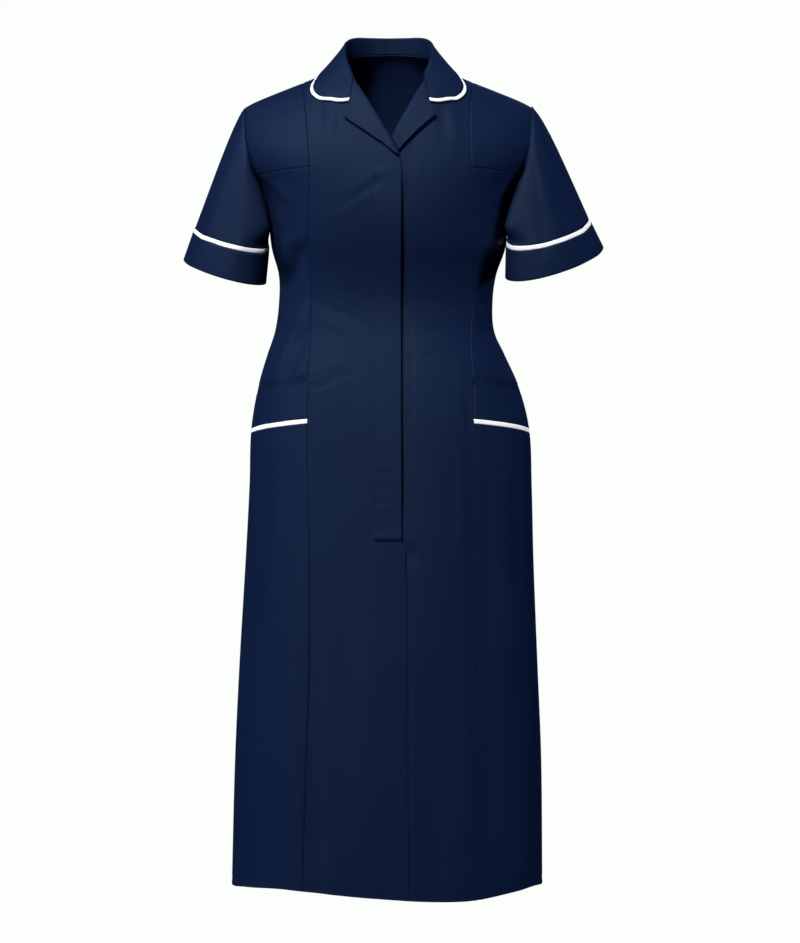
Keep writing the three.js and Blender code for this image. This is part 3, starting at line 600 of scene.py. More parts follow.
def edge_relief(panel, u, v, x, z):
    """Sewn edges roll in and pucker, and a hem has its stitch line."""
    gaps = {"inner": u, "outer": u[:, -1:] - u, "bottom": v, "top": v[-1:, :] - v}
    relief = np.zeros_like(u)
    for number, (edge, strength) in enumerate(panel.get("sewn", {}).items()):
        gap, pull = gaps[edge], np.exp(-((gaps[edge] / SEAM_ROLL) ** 2))
        along = v if edge in ("inner", "outer") else u
        share = strength(z) if callable(strength) else strength
        relief -= SEAM_DROP * share * pull
        ripple = pucker(along, panel.get("seed", 1) + number)
        relief += PUCKER * share * ripple * np.exp(-gap / PUCKER_REACH) * (1 - pull)
    if panel.get("hem"):
        relief -= HEM_STITCH_DEPTH * np.exp(-(((v - HEM_STITCH) / HEM_STITCH_HALF_WIDTH) ** 2))
        wander = HEM_ROPE_WANDER * np.sin(x / HEM_ROPE_WANDER_OVER)
        rope = np.sin(2 * math.pi * (x + HEM_ROPE_SLANT * v) / HEM_ROPE_PITCH + wander)
        relief += HEM_ROPE * rope * np.exp(-(((v - HEM_STITCH / 2) / HEM_ROPE_REACH) ** 2))
    return relief


# Meshes

def wall_corners(rows, columns, ring):
    """Row, column and side of the corners of every face of a wall, and which faces are its rim."""
    last = columns if ring else columns - 1
    i, j = (a.ravel() for a in np.meshgrid(np.arange(rows - 1), np.arange(last), indexing="ij"))
    k, r = np.arange(last), np.arange(rows - 1)
    low, high, start, end = k * 0, k * 0 + rows - 1, r * 0, r * 0 + columns - 1
    one = np.ones_like

    def face(*corners):
        return np.stack([np.stack(c, -1) for c in corners], 1)

    parts = [
        face((i, j, 0 * i), (i, j + 1, 0 * i), (i + 1, j + 1, 0 * i), (i + 1, j, 0 * i)),
        face((i, j, one(i)), (i + 1, j, one(i)), (i + 1, j + 1, one(i)), (i, j + 1, one(i))),
        face((low, k + 1, 0 * k), (low, k, 0 * k), (low, k, one(k)), (low, k + 1, one(k))),
        face((high, k, 0 * k), (high, k + 1, 0 * k), (high, k + 1, one(k)), (high, k, one(k))),
    ]
    if not ring:
        parts.append(
            face((r, start, 0 * r), (r + 1, start, 0 * r), (r + 1, start, one(r)), (r, start, one(r)))
        )
        parts.append(face((r + 1, end, 0 * r), (r, end, 0 * r), (r, end, one(r)), (r + 1, end, one(r))))
    corners = np.concatenate(parts)
    rim = np.arange(len(corners)) >= 2 * len(i)
    return corners, rim


def grid_normals(points, ring):
    """Normals of a grid of points."""
    if ring:
        around = np.roll(points, -1, 1) - np.roll(points, 1, 1)
    else:
        around = np.gradient(points, axis=1)
    return unit(np.cross(around, np.gradient(points, axis=0)))


def wall_object(name, points, uv, thickness, material, ring=False):
    """A closed thin wall round a grid of middle points, as an object."""
    rows, columns = points.shape[:2]
    half = grid_normals(points, ring) * (thickness / 2)
    places = np.concatenate([(points + half).reshape(-1, 3), (points - half).reshape(-1, 3)]) * MM
    corners, rim = wall_corners(rows, columns, ring)
    index = corners[..., 2] * rows * columns + corners[..., 0] * columns + corners[..., 1] % columns
    a, b, c, d = (places[index[:, n]] for n in range(4))
    volume = np.einsum("ij,ij->i", a, np.cross(b, c)).sum() + np.einsum("ij,ij->i", a, np.cross(c, d)).sum()
    if volume < 0:
        index, corners = index[:, ::-1], corners[:, ::-1]
    uv_index = corners[..., 0] * uv.shape[1] + corners[..., 1]
    mesh = bpy.data.meshes.new(name)
    mesh.vertices.add(len(places))
    mesh.vertices.foreach_set("co", places.ravel())
    mesh.loops.add(index.size)
    mesh.loops.foreach_set("vertex_index", index.ravel())
    mesh.polygons.add(len(index))
    mesh.polygons.foreach_set("loop_start", np.arange(0, index.size, 4))
    mesh.polygons.foreach_set("use_smooth", ~rim)
    layer = mesh.uv_layers.new(name="cloth")
    layer.data.foreach_set("uv", (uv.reshape(-1, 2)[uv_index.ravel()] * MM).ravel())
    mesh.update(calc_edges=True)
    mesh.validate()
    mesh.materials.append(material)
    piece = bpy.data.objects.new(name, mesh)
    bpy.context.scene.collection.objects.link(piece)
    return piece


def place_piece(piece, slot, *nodes):
    """Gives a finished piece to the frame."""
    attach(piece, "root")
    if nodes:
        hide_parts(*nodes)
    return piece


def sheet_piece(name, grid, thickness, material, ring=False):
    """A cloth piece that stands for its solid, attached to the frame, with that solid's part hidden."""
    piece = wall_object(name, *grid, thickness, material, ring)
    node = name.replace("cloth_", "")
    place_piece(piece, NAVY_SLOT, node)
    return piece


# Materials

def add_node(tree, kind, inputs=(), **settings):
    node = tree.nodes.new(kind)
    for key, value in settings.items():
        setattr(node, key, value)
    for name, value in dict(inputs).items():
        if isinstance(value, bpy.types.NodeSocket):
            tree.links.new(value, node.inputs[name])
        else:
            node.inputs[name].default_value = value
    return node


def new_material(name, viewport):
    material = bpy.data.materials.new(name)
    material.use_nodes = True
    material.diffuse_color = (*viewport, 1)
    tree = material.node_tree
    tree.nodes.clear()
    shader = add_node(tree, "ShaderNodeBsdfPrincipled")
    output = add_node(tree, "ShaderNodeOutputMaterial")
    tree.links.new(shader.outputs["BSDF"], output.inputs["Surface"])
    return material, tree, shader


def weave_height(tree):
    """Over and under of a plain weave, from the cloth's own map in metres."""
    uv = add_node(tree, "ShaderNodeUVMap", uv_map="cloth")
    turns = 0.05 / sizes().weave * 2
    waves = []
    for direction in ("X", "Y"):
        wave = add_node(
            tree, "ShaderNodeTexWave",
            {"Vector": uv.outputs["UV"], "Scale": turns * 2 * math.pi, "Distortion": 0.6,
             "Detail": 1.0, "Detail Scale": 2.0},
            wave_type="BANDS", bands_direction=direction, wave_profile="SIN",
        )
        waves.append(wave.outputs["Fac"])
    return add_node(tree, "ShaderNodeMath", {0: waves[0], 1: waves[1]}, operation="MULTIPLY").outputs[0]


def cloth_material(name, dark, light, tint, sheen, bump):
    """Plain-weave cloth with a faint sheen and slightly uneven colour."""
    material, tree, shader = new_material(name, light)
    place = add_node(tree, "ShaderNodeTexCoord").outputs["Object"]
    patches = add_node(tree, "ShaderNodeTexNoise", {"Vector": place, "Scale": 9.0, "Detail": 3.0})
    specks = add_node(tree, "ShaderNodeTexNoise", {"Vector": place, "Scale": 420.0, "Detail": 2.0})
    mixed = add_node(
        tree, "ShaderNodeMath", {0: patches.outputs["Fac"], 1: specks.outputs["Fac"]}, operation="ADD"
    )
    spread = add_node(
        tree, "ShaderNodeMapRange",
        {"Value": mixed.outputs[0], "From Min": 0.75, "From Max": 1.25, "To Min": 0.0, "To Max": 1.0},
    )
    colour = add_node(tree, "ShaderNodeMix", data_type="RGBA")
    tree.links.new(spread.outputs["Result"], colour.inputs[0])
    colour.inputs[6].default_value = (*dark, 1)
    colour.inputs[7].default_value = (*light, 1)
    tree.links.new(colour.outputs[2], shader.inputs["Base Color"])
    rough = add_node(
        tree, "ShaderNodeMapRange",
        {"Value": specks.outputs["Fac"], "To Min": 0.54, "To Max": 0.66},
    )
    tree.links.new(rough.outputs["Result"], shader.inputs["Roughness"])
    shader.inputs["Specular IOR Level"].default_value = 0.16
    shader.inputs["Specular Tint"].default_value = (*tint, 1)
    shader.inputs["Sheen Weight"].default_value = sheen
    shader.inputs["Sheen Tint"].default_value = (*tint, 1)
    shader.inputs["Sheen Roughness"].default_value = 0.45
    threads = add_node(
        tree, "ShaderNodeBump", {"Height": weave_height(tree), "Strength": 0.5, "Distance": bump}
    )
    crumple = add_node(tree, "ShaderNodeTexNoise", {"Vector": place, "Scale": 55.0, "Detail": 4.0})
    soft = add_node(
        tree, "ShaderNodeBump",
        {"Height": crumple.outputs["Fac"], "Strength": 0.35, "Distance": 0.0012,
         "Normal": threads.outputs["Normal"]},
    )
    tree.links.new(soft.outputs["Normal"], shader.inputs["Normal"])
    return material


def thread_material():
    material, tree, shader = new_material("uniform_thread", colours().thread)
    place = add_node(tree, "ShaderNodeTexCoord").outputs["Object"]
    twist = add_node(tree, "ShaderNodeTexNoise", {"Vector": place, "Scale": 1800.0, "Detail": 1.0})
    colour = add_node(tree, "ShaderNodeMix", data_type="RGBA")
    tree.links.new(twist.outputs["Fac"], colour.inputs[0])
    colour.inputs[6].default_value = (*colours().thread, 1)
    colour.inputs[7].default_value = (*colours().navy, 1)
    tree.links.new(colour.outputs[2], shader.inputs["Base Color"])
    shader.inputs["Roughness"].default_value = 0.6
    shader.inputs["Specular IOR Level"].default_value = 0.05
    return material


def material_named(name):
    if name in bpy.data.materials:
        return bpy.data.materials[name]
    look = colours()
    if name == "uniform_navy":
        return cloth_material(name, look.navy, look.navy_light, (0.6, 0.88, 1), 0.004, 0.00012)
    if name == "uniform_piping":
        return cloth_material(name, [0.95 * c for c in look.white], look.white, (1, 1, 1), 0.05, 0.0001)
    return thread_material()


# Panels

def lap_edge_x(z):
    return -straight_at(LAP_EDGE, z)


def underlap_lift(x, z):
    """The underlap lies one layer in, behind the lapped front, and dips beside the fly's edge."""
    beside = x - lap_edge_x(z)
    covered = 1 - ease((beside - UNDERLAP_MARGIN) / UNDERLAP_RAMP)
    below_break = ease((BREAK_Z - UNDERLAP_DIP_FROM - z) / UNDERLAP_DIP_RAMP)
    along = below_break * ease((z - FLY_END_Z) / UNDERLAP_DIP_END_RAMP)
    dip = UNDERLAP_DIP * np.exp(-(((beside - UNDERLAP_DIP_AT) / UNDERLAP_DIP_HALF_WIDTH) ** 2)) * along
    return -LAYER * covered * ease((z - (FLY_END_Z - UNDERLAP_END)) / UNDERLAP_END_RAMP) - dip


def princess_turn(side, z):
    return turn_at(side * smooth_at(PRINCESS[side], z), z)


def edge_gap(z):
    return ROLL_SPACE * (z > BREAK_Z)


def below_fly(z):
    return ease((FLY_END_Z - BELOW_FLY - z) / BELOW_FLY_RAMP)


def top_shares(first=0.0):
    edge = np.array((0, 0.004, 0.009, 0.016))
    inside = np.linspace(first + 0.03, TOP_END - 0.03, 34)
    return np.concatenate([first + edge, inside, TOP_END - edge[::-1]])


def build_front_centres():
    material = material_named("uniform_navy")
    rows = levels(HEM_Z, YOKE_Z, (True, False), FLY_ROWS)
    shared = {"rows": rows, "tops": top_shares()[1:], "hem": True}
    right = panel_grid({
        **shared, "width": RIGHT_CENTRE_WIDTH, "sewn": {"outer": 1, "inner": below_fly}, "seed": 2,
        "inner": lambda z: turn_at(lap_edge_x(z) - edge_gap(z), z),
        "outer": lambda z: princess_turn(-1, z),
    })
    left = panel_grid({
        **shared, "width": LEFT_CENTRE_WIDTH, "sewn": {"outer": 1, "inner": below_fly}, "seed": 5,
        "inner": lambda z: turn_at(straight_at(UNDERLAP_EDGE, z) + edge_gap(z), z),
        "outer": lambda z: princess_turn(1, z),
        "lift": lambda x, z, share: underlap_lift(x, z),
    })
    sheet_piece("cloth_front_centre_right", right, sizes().cloth / MM, material)
    sheet_piece("cloth_front_centre_left", left, sizes().cloth / MM, material)


def placket_lift(x, z, share):
    """The fly strip comes out of the front, is sewn down at its outer edge, and puckers over the zip."""
    base = PLACKET_START_LIFT + PLACKET_RISE * ease((PLACKET_SHOWS_Z - z) / PLACKET_RISE_OVER) + 0 * x
    sewn = -PLACKET_SEWN_DROP * np.exp(-(((x - PLACKET_OUTER_X) / PLACKET_SEWN_HALF_WIDTH) ** 2))
    drop = PLACKET_END_DROP * ease((FLY_END_Z + 3.5 - z) / 3.5)
    end = PLACKET_END_RISE * ease((FLY_END_Z + 12 - z) / 3) - drop
    zip_area = ease((ZIP_PUCKER_TOP_Z - z) / 60) * ease((z - FLY_END_Z - 8) / 20)
    beside_zip = np.exp(-(((x - ZIP_X) / ZIP_PUCKER_HALF_WIDTH) ** 2))
    ripples = ZIP_PUCKER * zip_area * pucker(z, 3.0, 18.0) * beside_zip
    waves = 0.25 * np.sin(z / 23.0 + x / 19.0) * ease((x - PLACKET_OUTER_X) / 9)
    return base + sewn + end + ripples + waves


def build_placket():
    strip = panel_grid({
        "width": PLACKET_WIDTH, "rows": levels(FLY_END_Z, PLACKET_TOP_Z), "lift": placket_lift,
        "inner": lambda z: turn_at(lap_edge_x(z) - 0.2, z),
        "outer": lambda z: turn_at(PLACKET_OUTER_X, z),
    })
    sheet_piece("cloth_front_placket", strip, STRIP, material_named("uniform_navy"))


def pocket_lift(x, z, share):
    """The side front passes behind the pocket band."""
    mouth = POCKET_MOUTH_Z - smooth_at(FALLS, POCKET_MOUTH_Z) * share
    return -LAYER * ease((mouth + POCKET_PASS - z) / POCKET_PASS_RAMP)


def build_side_panels():
    navy, white = material_named("uniform_navy"), material_named("uniform_piping")
    for side, name in ((-1, "right"), (1, "left")):
        common = {
            "width": SIDE_WIDTH, "slant": lambda share: share, "seed": 11 + side,
            "inner": lambda z, s=side: princess_turn(s, z),
            "outer": lambda z, s=side: s * np.where(z > UNDERARM_Z, armhole_turn(z), 1) * SIDE_TURN,
        }
        panels = (
            ("front_yoke", {"tops": top_shares(0), "sewn": {"inner": 1, "outer": 0.3, "bottom": 0.8}}),
            ("side_front", {
                "rows": levels(POCKET_OVERLAP_Z, YOKE_Z, (False, True), (UNDERARM_Z,)),
                "sewn": {"inner": 1, "outer": 0.4, "top": 0.8}, "lift": pocket_lift,
            }),
            ("pocket_band", {
                "rows": levels(PIPING_TOP_Z, POCKET_MOUTH_Z),
                "sewn": {"inner": 1, "outer": 0.5, "bottom": 0.6},
            }),
            ("skirt_side", {
                "rows": levels(HEM_Z, PIPING_BOTTOM_Z), "sewn": {"inner": 1, "outer": 0.5}, "hem": True,
            }),
        )
        strip = panel_grid({**common, "rows": np.linspace(PIPING_BOTTOM_Z, PIPING_TOP_Z, 5)})
        piping = wall_object(f"piping_pocket_{name}", *strip, sizes().piping / MM, white)
        place_piece(piping, WHITE_SLOT, f"pocket_piping_{name}")
        for piece, more in panels:
            grid = panel_grid({**common, **more})
            sheet_piece(f"cloth_{piece}_{name}", grid, sizes().cloth / MM, navy)


def build_back():
    def edge(z):
        return np.where(z > UNDERARM_Z, 2 - armhole_turn(z), 1)

    grid = panel_grid({
        "front": False, "width": BACK_WIDTH, "slant": lambda share: 0 * share + 1,
        "sewn": {"inner": 0.4, "outer": 0.4},
        "rows": levels(HEM_Z, YOKE_Z, (True, False), (UNDERARM_Z,)), "tops": top_shares()[1:], "hem": True,
        "inner": lambda z: edge(z) + SIDE_GAP, "outer": lambda z: 4 - edge(z) - SIDE_GAP,
        "lift": back_darts, "seed": 21,
    })
    sheet_piece("cloth_back", grid, sizes().cloth / MM, material_named("uniform_navy"))


def back_darts(x, z, share):
    """Two long darts shape the back's waist."""
    relief = 0 * x
    for side in (-1, 1):
        place = side * (DART_X + DART_SPREAD * ease((DART_WAIST_Z - z) / DART_SPREAD_OVER))
        along = ease((DART_TOP_Z - z) / DART_RAMP) * ease((z - DART_BOTTOM_Z) / DART_RAMP)
        relief = relief - DART_DEPTH * along * np.exp(-(((x - place) / DART_HALF_WIDTH) ** 2))
    return relief


# Collar and lapels

def spline(points, t):
    """Centripetal curve through points, at places from 0 to 1."""
    points = np.asarray(points, float)
    ends = np.concatenate([[2 * points[0] - points[1]], points, [2 * points[-1] - points[-2]]])
    place = np.clip(t, 0, 1) * (len(points) - 1)
    k = np.minimum(place.astype(int), len(points) - 2)
    w = (place - k)[:, None]
    p0, p1, p2, p3 = (ends[k + n] for n in range(4))
    d0, d1, d2 = (np.linalg.norm(b - a, axis=1)[:, None] ** 0.5 for a, b in ((p0, p1), (p1, p2), (p2, p3)))
    t1 = ((p1 - p0) / d0 - (p2 - p0) / (d0 + d1) + (p2 - p1) / d1) * d1
    t2 = ((p2 - p1) / d1 - (p3 - p1) / (d1 + d2) + (p3 - p2) / d2) * d1
    cube = 2 * p1 - 2 * p2 + t1 + t2
    square = -3 * p1 + 3 * p2 - 2 * t1 - t2
    return p1 + t1 * w + square * w * w + cube * w**3


def collar_edge(front, x, under):
    """Outer edge of the collar at one station, lying over the cloth."""
    level = top_line(np.array(float(x)), np.array(front < 0))[1] - under
    turn = turn_at(x, level, front < 0)
    return body_point(turn, level) + body_normal(turn, level) * COLLAR_LIFT


def collar_sections():
    """One section for each station, from the neck seam over the roll to the outer edge."""
    table = np.array(COLLAR, float)
    edges = [collar_edge(*row[6:9]) for row in COLLAR]
    share = 1 - np.abs(np.arange(-COLLAR_STATIONS, COLLAR_STATIONS + 1)) / COLLAR_STATIONS
    roll, seam, edge = (spline(line, share) for line in (table[:, 0:3], table[:, 3:6], edges))
    out = edge - roll
    over = roll + out * COLLAR_OVER + (0, 0, COLLAR_OVER_RISE)
    middle = roll + out * COLLAR_MIDDLE + (0, 0, COLLAR_MIDDLE_RISE)
    behind = ease((share - COLLAR_FRONT_SHARE) / COLLAR_FRONT_BLEND + 0.5)
    middle[:, 1] += COLLAR_BOW_FRONT + (COLLAR_BOW_BACK - COLLAR_BOW_FRONT) * behind
    stand = seam + (roll - seam) * COLLAR_STAND
    return share, np.stack([seam, stand, roll, over, middle, edge], 1)


def collar_grid(from_edge, to_edge, steps):
    """Grid of the collar between two distances from its outer edge, or from its seam over the roll."""
    grid = []
    share, sections = collar_sections()
    fine = np.linspace(0, 1, 401)
    for number, section in enumerate(sections):
        line = spline(section, fine)
        run = np.concatenate([[0], np.cumsum(np.linalg.norm(np.diff(line, axis=0), axis=1))])
        if from_edge is None:
            roll = run[COLLAR_ROLL_AT]
            stand = np.linspace(0, roll, COLLAR_STAND_STEPS)[:-1]
            wanted = np.concatenate([stand, np.linspace(roll, run[-1] - to_edge, steps + 1)])
        else:
            wanted = np.linspace(run[-1] - from_edge, run[-1] - to_edge, steps + 1)
        row = np.stack([np.interp(wanted, run, line[:, n]) for n in range(3)], -1)
        if number < COLLAR_STATIONS:
            row[:, 0] *= -1
        else:
            row[:, 0] += COLLAR_SKEW * ease(1 - share[number] / COLLAR_SKEW_SHARE)
        grid.append(row)
    points = np.array(grid)
    return points, np.stack([distances(points, 1), distances(points, 0)], -1)


def build_collar():
    navy, white = material_named("uniform_navy"), material_named("uniform_piping")
    edging = collar_grid(COLLAR_PIPING, 0, 4)
    piping = wall_object("piping_collar", *edging, sizes().piping / MM, white)
    place_piece(piping, WHITE_SLOT, "collar_piping")
    points, uv = collar_grid(None, COLLAR_PIPING, 34)
    sheet_piece("cloth_collar", (points, uv), sizes().cloth / MM, navy)


def lapel_grid(name, side):
    """A lapel folded out along its roll line."""
    sections = np.array(LAPELS[name], float)
    place = np.linspace(0, len(sections) - 1, 10 * (len(sections) - 1) + 1)
    rows = np.stack([np.interp(place, np.arange(len(sections)), sections[:, n]) for n in range(4)], -1)
    roll, out = rows[:, :2], rows[:, 2:] - rows[:, :2]
    width = np.linalg.norm(out, axis=1)[:, None]
    fit = np.minimum(1, width / LAPEL_FULL)
    t = np.linspace(0, 6, 37)[None, :]
    offset, share, height = (smooth_at(LAPEL_ACROSS, t, n) for n in (1, 2, 3))
    spot = roll[:, None, :] + out[:, None, :] * (share + offset * fit / width)[..., None]
    x, z = side * spot[..., 0], spot[..., 1]
    lift = underlap_lift(x, z) if name == "left" else 0
    points = cloth_point(turn_at(x, z), z, height + lift)
    return points, np.stack([distances(points, 1), distances(points, 0)], -1)


def build_lapels():
    for name, side in (("right", -1), ("left", 1)):
        grid = lapel_grid(name, side)
        sheet_piece(
            f"cloth_lapel_{name}", grid, sizes().cloth / MM, material_named("uniform_navy")
        )


# Sleeves

def armhole_point(share, side):
    """Armhole from the shoulder down the front, under the arm and up the back, moved out to the sleeve."""
    front = share <= 0.5
    down = (1 - np.cos(np.where(front, share, 1 - share) * 2 * math.pi)) / 2
    edge_x = body_point(ARMHOLE_ANGLE, ARMHOLE_TOP_Z)[0]
    top = smooth_at(SHOULDER, edge_x) - 0.02
    z = top + (UNDERARM_Z - top) * down
    turn = np.where(front, armhole_turn(z), 2 - armhole_turn(z))
    point = body_point(turn, z)
    point[..., 0] = side * (point[..., 0] + SLEEVE_START)
    return point


def ring_point(corners, sleeve, share):
    """Ring of an ellipse through an outer and an inner corner."""
    outer, inner = (np.array(c, float) * (sleeve["side"], 1, 1) for c in corners)
    middle, half = (outer + inner) / 2, (outer - inner) / 2
    forward = np.array((0, -sleeve["depth"], -sleeve["dip"]), float)
    angle = (share * 2 * math.pi)[..., None]
    return middle + half * np.cos(angle) + forward * np.sin(angle)


def beside_body(point, side, press=0.0):
    """Keeps points of the sleeve just outside the body, and presses its inner side towards it."""
    z = point[..., 2]
    front, back = smooth_at(SECTIONS, z, FRONT_DEPTH), smooth_at(SECTIONS, z, BACK_DEPTH)
    depth = np.where(point[..., 1] < 0, front, back)
    share = np.minimum(1, np.abs(point[..., 1]) / depth)
    body_x = smooth_at(SECTIONS, z, HALF_WIDTH) * (1 - share**ROUNDNESS) ** (1 / ROUNDNESS)
    free = SLEEVE_FREE_FALL * ease((z - SLEEVE_FREE_ABOVE) / 32)
    least = body_x + side * smooth_at(SECTIONS, z, MIDDLE_X) + SLEEVE_CLEAR - free
    out = point[..., 0] * side
    out = out + (least + SLEEVE_SOFT - out) * press
    past = out - least - SLEEVE_SOFT
    moved = least + SLEEVE_SOFT * np.exp(np.minimum(past, 0) / SLEEVE_SOFT)
    point = point.copy()
    point[..., 0] = side * np.where(past < 0, moved, out)
    return point


def sleeve_point(sleeve, down, share):
    """Points of a sleeve: 0 at the armhole, 1 at the piping seam, 2 at the cuff's end."""
    side = sleeve["side"]
    seam, end = (ring_point(sleeve[key], sleeve, share) for key in ("seam", "end"))
    cuff = beside_body(seam + (end - seam) * np.maximum(down - 1, 0)[..., None], side)
    t = np.clip(down, 0, 1)
    start = armhole_point(share, side)
    bulge = np.sin(math.pi * np.sqrt(t)) * sleeve["bulge"]
    inward = np.maximum(0, -np.cos(share * 2 * math.pi))
    upper = start + (seam - start) * t[..., None]
    upper[..., 0] += side * bulge * np.maximum(0, np.cos(share * 2 * math.pi))
    upper[..., 1] -= bulge * np.sin(share * 2 * math.pi)
    press = SLEEVE_PRESS * ease(t / 0.15) * ease((1 - t) / 0.3) * ease(inward * 1.6 - 0.3)
    upper = beside_body(upper, side, press)
    return np.where((down > 1)[..., None], cuff, upper)


def sleeve_folds(name, down, share):
    """Soft ridges down a sleeve."""
    height = 0 * down
    for top, bottom, start, end, half_width, lift in SLEEVE_FOLDS[name]:
        t = (down - start) / (end - start)
        across = (share - (top + (bottom - top) * np.clip(t, 0, 1))) / half_width
        along = ease((t + FOLD_PAST) / FOLD_FADE) * ease((1 + FOLD_PAST - t) / FOLD_FADE)
        height = height + lift * np.exp(-across * across) * along
    return height


def sleeve_grid(name, from_down, to_down, rows, lift, sewn=()):
    sleeve = SLEEVES[name]
    share, down = np.meshgrid(
        np.arange(SLEEVE_ROUND) / SLEEVE_ROUND, np.linspace(from_down, to_down, rows + 1)
    )
    points = sleeve_point(sleeve, down, share)
    centre = ring_point(sleeve["seam"], sleeve, np.array([0.0, 0.5])).mean(0)
    out = (points - centre) * (1, 1, 0)
    height = lift + sizes().folds * sleeve_folds(name, down, share)
    points = points + unit(out) * height[..., None]
    closed = np.concatenate([points, points[:, :1]], 1)
    u, v = distances(closed, 1), distances(closed, 0)
    for edge in sewn:
        gap = (v if edge == "top" else v[-1:] - v)[:, :-1]
        drop = -SEAM_DROP * np.exp(-((gap / SEAM_ROLL) ** 2))
        points = points + grid_normals(points, True) * drop[..., None] * np.sign(-sleeve["side"])
    return points, np.stack([u, v], -1)


def build_sleeves():
    navy, white = material_named("uniform_navy"), material_named("uniform_piping")
    for name, sleeve in SLEEVES.items():
        cuff = float(np.linalg.norm(np.subtract(sleeve["seam"][0], sleeve["end"][0])))
        piping_end = 1 + CUFF_PIPING / cuff
        edging = sleeve_grid(name, 1, piping_end, 4, CUFF_LIFT / 2)
        piping = wall_object(f"piping_cuff_{name}", *edging, sizes().piping / MM, white, ring=True)
        place_piece(piping, WHITE_SLOT, f"cuff_piping_{name}")
        upper = sleeve_grid(name, 0, 1, 44, 0, sleeve["sewn"])
        sheet_piece(f"cloth_sleeve_{name}", upper, sizes().cloth / MM, navy, ring=True)
        band = sleeve_grid(name, piping_end, 2, 14, CUFF_LIFT)
        sheet_piece(
            f"cloth_sleeve_cuff_{name}", band, sizes().cloth / MM, navy, ring=True,
        )


# Stitching

def stitch_tree():
    """Nodes that set a row of stitches along a line: its inputs are pitch, length, thread and material."""
    if "uniform_stitches" in bpy.data.node_groups:
        return bpy.data.node_groups["uniform_stitches"]
    tree = bpy.data.node_groups.new("uniform_stitches", "GeometryNodeTree")
    for name, kind in (
        ("Line", "NodeSocketGeometry"), ("Pitch", "NodeSocketFloat"), ("Length", "NodeSocketFloat"),
        ("Thread", "NodeSocketFloat"), ("Material", "NodeSocketMaterial"),
    ):
        tree.interface.new_socket(name, in_out="INPUT", socket_type=kind)
    tree.interface.new_socket("Stitches", in_out="OUTPUT", socket_type="NodeSocketGeometry")
    given = add_node(tree, "NodeGroupInput").outputs
    curve = add_node(tree, "GeometryNodeMeshToCurve", {"Mesh": given["Line"]})
    spots = add_node(
        tree, "GeometryNodeCurveToPoints",
        {"Curve": curve.outputs[0], "Length": given["Pitch"]}, mode="LENGTH",
    )
    turned = add_node(
        tree, "FunctionNodeAlignRotationToVector", {"Vector": spots.outputs["Tangent"]}, axis="Z"
    )
    uneven = add_node(tree, "FunctionNodeRandomValue", data_type="FLOAT")
    uneven.inputs[2].default_value, uneven.inputs[3].default_value = 0.88, 1.12
    uneven.inputs["Seed"].default_value = 7
    long = add_node(tree, "ShaderNodeMath", {0: given["Length"], 1: uneven.outputs[1]}, operation="MULTIPLY")
    size = add_node(
        tree, "ShaderNodeCombineXYZ", {"X": given["Thread"], "Y": given["Thread"], "Z": long.outputs[0]}
    )
    bead = add_node(tree, "GeometryNodeMeshUVSphere", {"Segments": 6, "Rings": 4, "Radius": 0.5})
    rows = add_node(
        tree, "GeometryNodeInstanceOnPoints",
        {"Points": spots.outputs["Points"], "Instance": bead.outputs["Mesh"],
         "Rotation": turned.outputs["Rotation"], "Scale": size.outputs["Vector"]},
    )
    real = add_node(tree, "GeometryNodeRealizeInstances", {"Geometry": rows.outputs["Instances"]})
    coloured = add_node(
        tree, "GeometryNodeSetMaterial", {"Geometry": real.outputs["Geometry"], "Material": given["Material"]}
    )
    result = add_node(tree, "NodeGroupOutput")
    tree.links.new(coloured.outputs["Geometry"], result.inputs["Stitches"])
    return tree


def stitch_row(name, lines, pitch, length):
    """A row of stitches along one or more lines of points in millimetres, as a plain mesh."""
    points, edges = [], []
    for line in lines:
        first = len(points)
        points += [tuple(float(c) * MM for c in point) for point in line]
        edges += [(n, n + 1) for n in range(first, len(points) - 1)]
    mesh = bpy.data.meshes.new(name + "_line")
    mesh.from_pydata(points, edges, [])
    holder = bpy.data.objects.new(name + "_line", mesh)
    bpy.context.scene.collection.objects.link(holder)
    tree = stitch_tree()
    modifier = holder.modifiers.new("stitches", "NODES")
    modifier.node_group = tree
    thread = material_named("uniform_thread")
    given = {"Pitch": pitch, "Length": length, "Thread": sizes().thread, "Material": thread}
    for item in tree.interface.items_tree:
        if item.in_out == "INPUT" and item.name in given:
            modifier[item.identifier] = given[item.name]
    holder.update_tag()
    graph = bpy.context.evaluated_depsgraph_get()
    made = bpy.data.meshes.new_from_object(holder.evaluated_get(graph), depsgraph=graph)
    holder.modifiers.remove(modifier)
    bpy.data.objects.remove(holder)
    bpy.data.meshes.remove(mesh)
    for polygon in made.polygons:
        polygon.use_smooth = True
    piece = bpy.data.objects.new(name, made)
    bpy.context.scene.collection.objects.link(piece)
    return place_piece(piece, NAVY_SLOT)


def on_cloth(x, z, height, front=True):
    """Points at a height over the cloth's middle, in front or behind."""
    x, z = np.broadcast_arrays(np.asarray(x, float), np.asarray(z, float))
    return cloth_point(turn_at(x, z, front), z, height)


def hem_line(x, front):
    z = HEM_Z + HEM_STITCH
    return on_cloth(x, z + hem_rise(x, np.full(x.shape, float(HEM_Z)), front), HEM_THREAD, front)


def zigzag(x0, z0, x1, z1, height, half_width=0.9, step=0.45):
    """A short bar of close stitches to and fro."""
    run = math.hypot(x1 - x0, z1 - z0)
    count = int(run / step) + 1
    t = np.linspace(0, 1, count)
    swing = half_width * (-1.0) ** np.arange(count)
    x = x0 + (x1 - x0) * t + swing * (z1 - z0) / run
    z = z0 + (z1 - z0) * t - swing * (x1 - x0) / run
    return on_cloth(x, z, height)


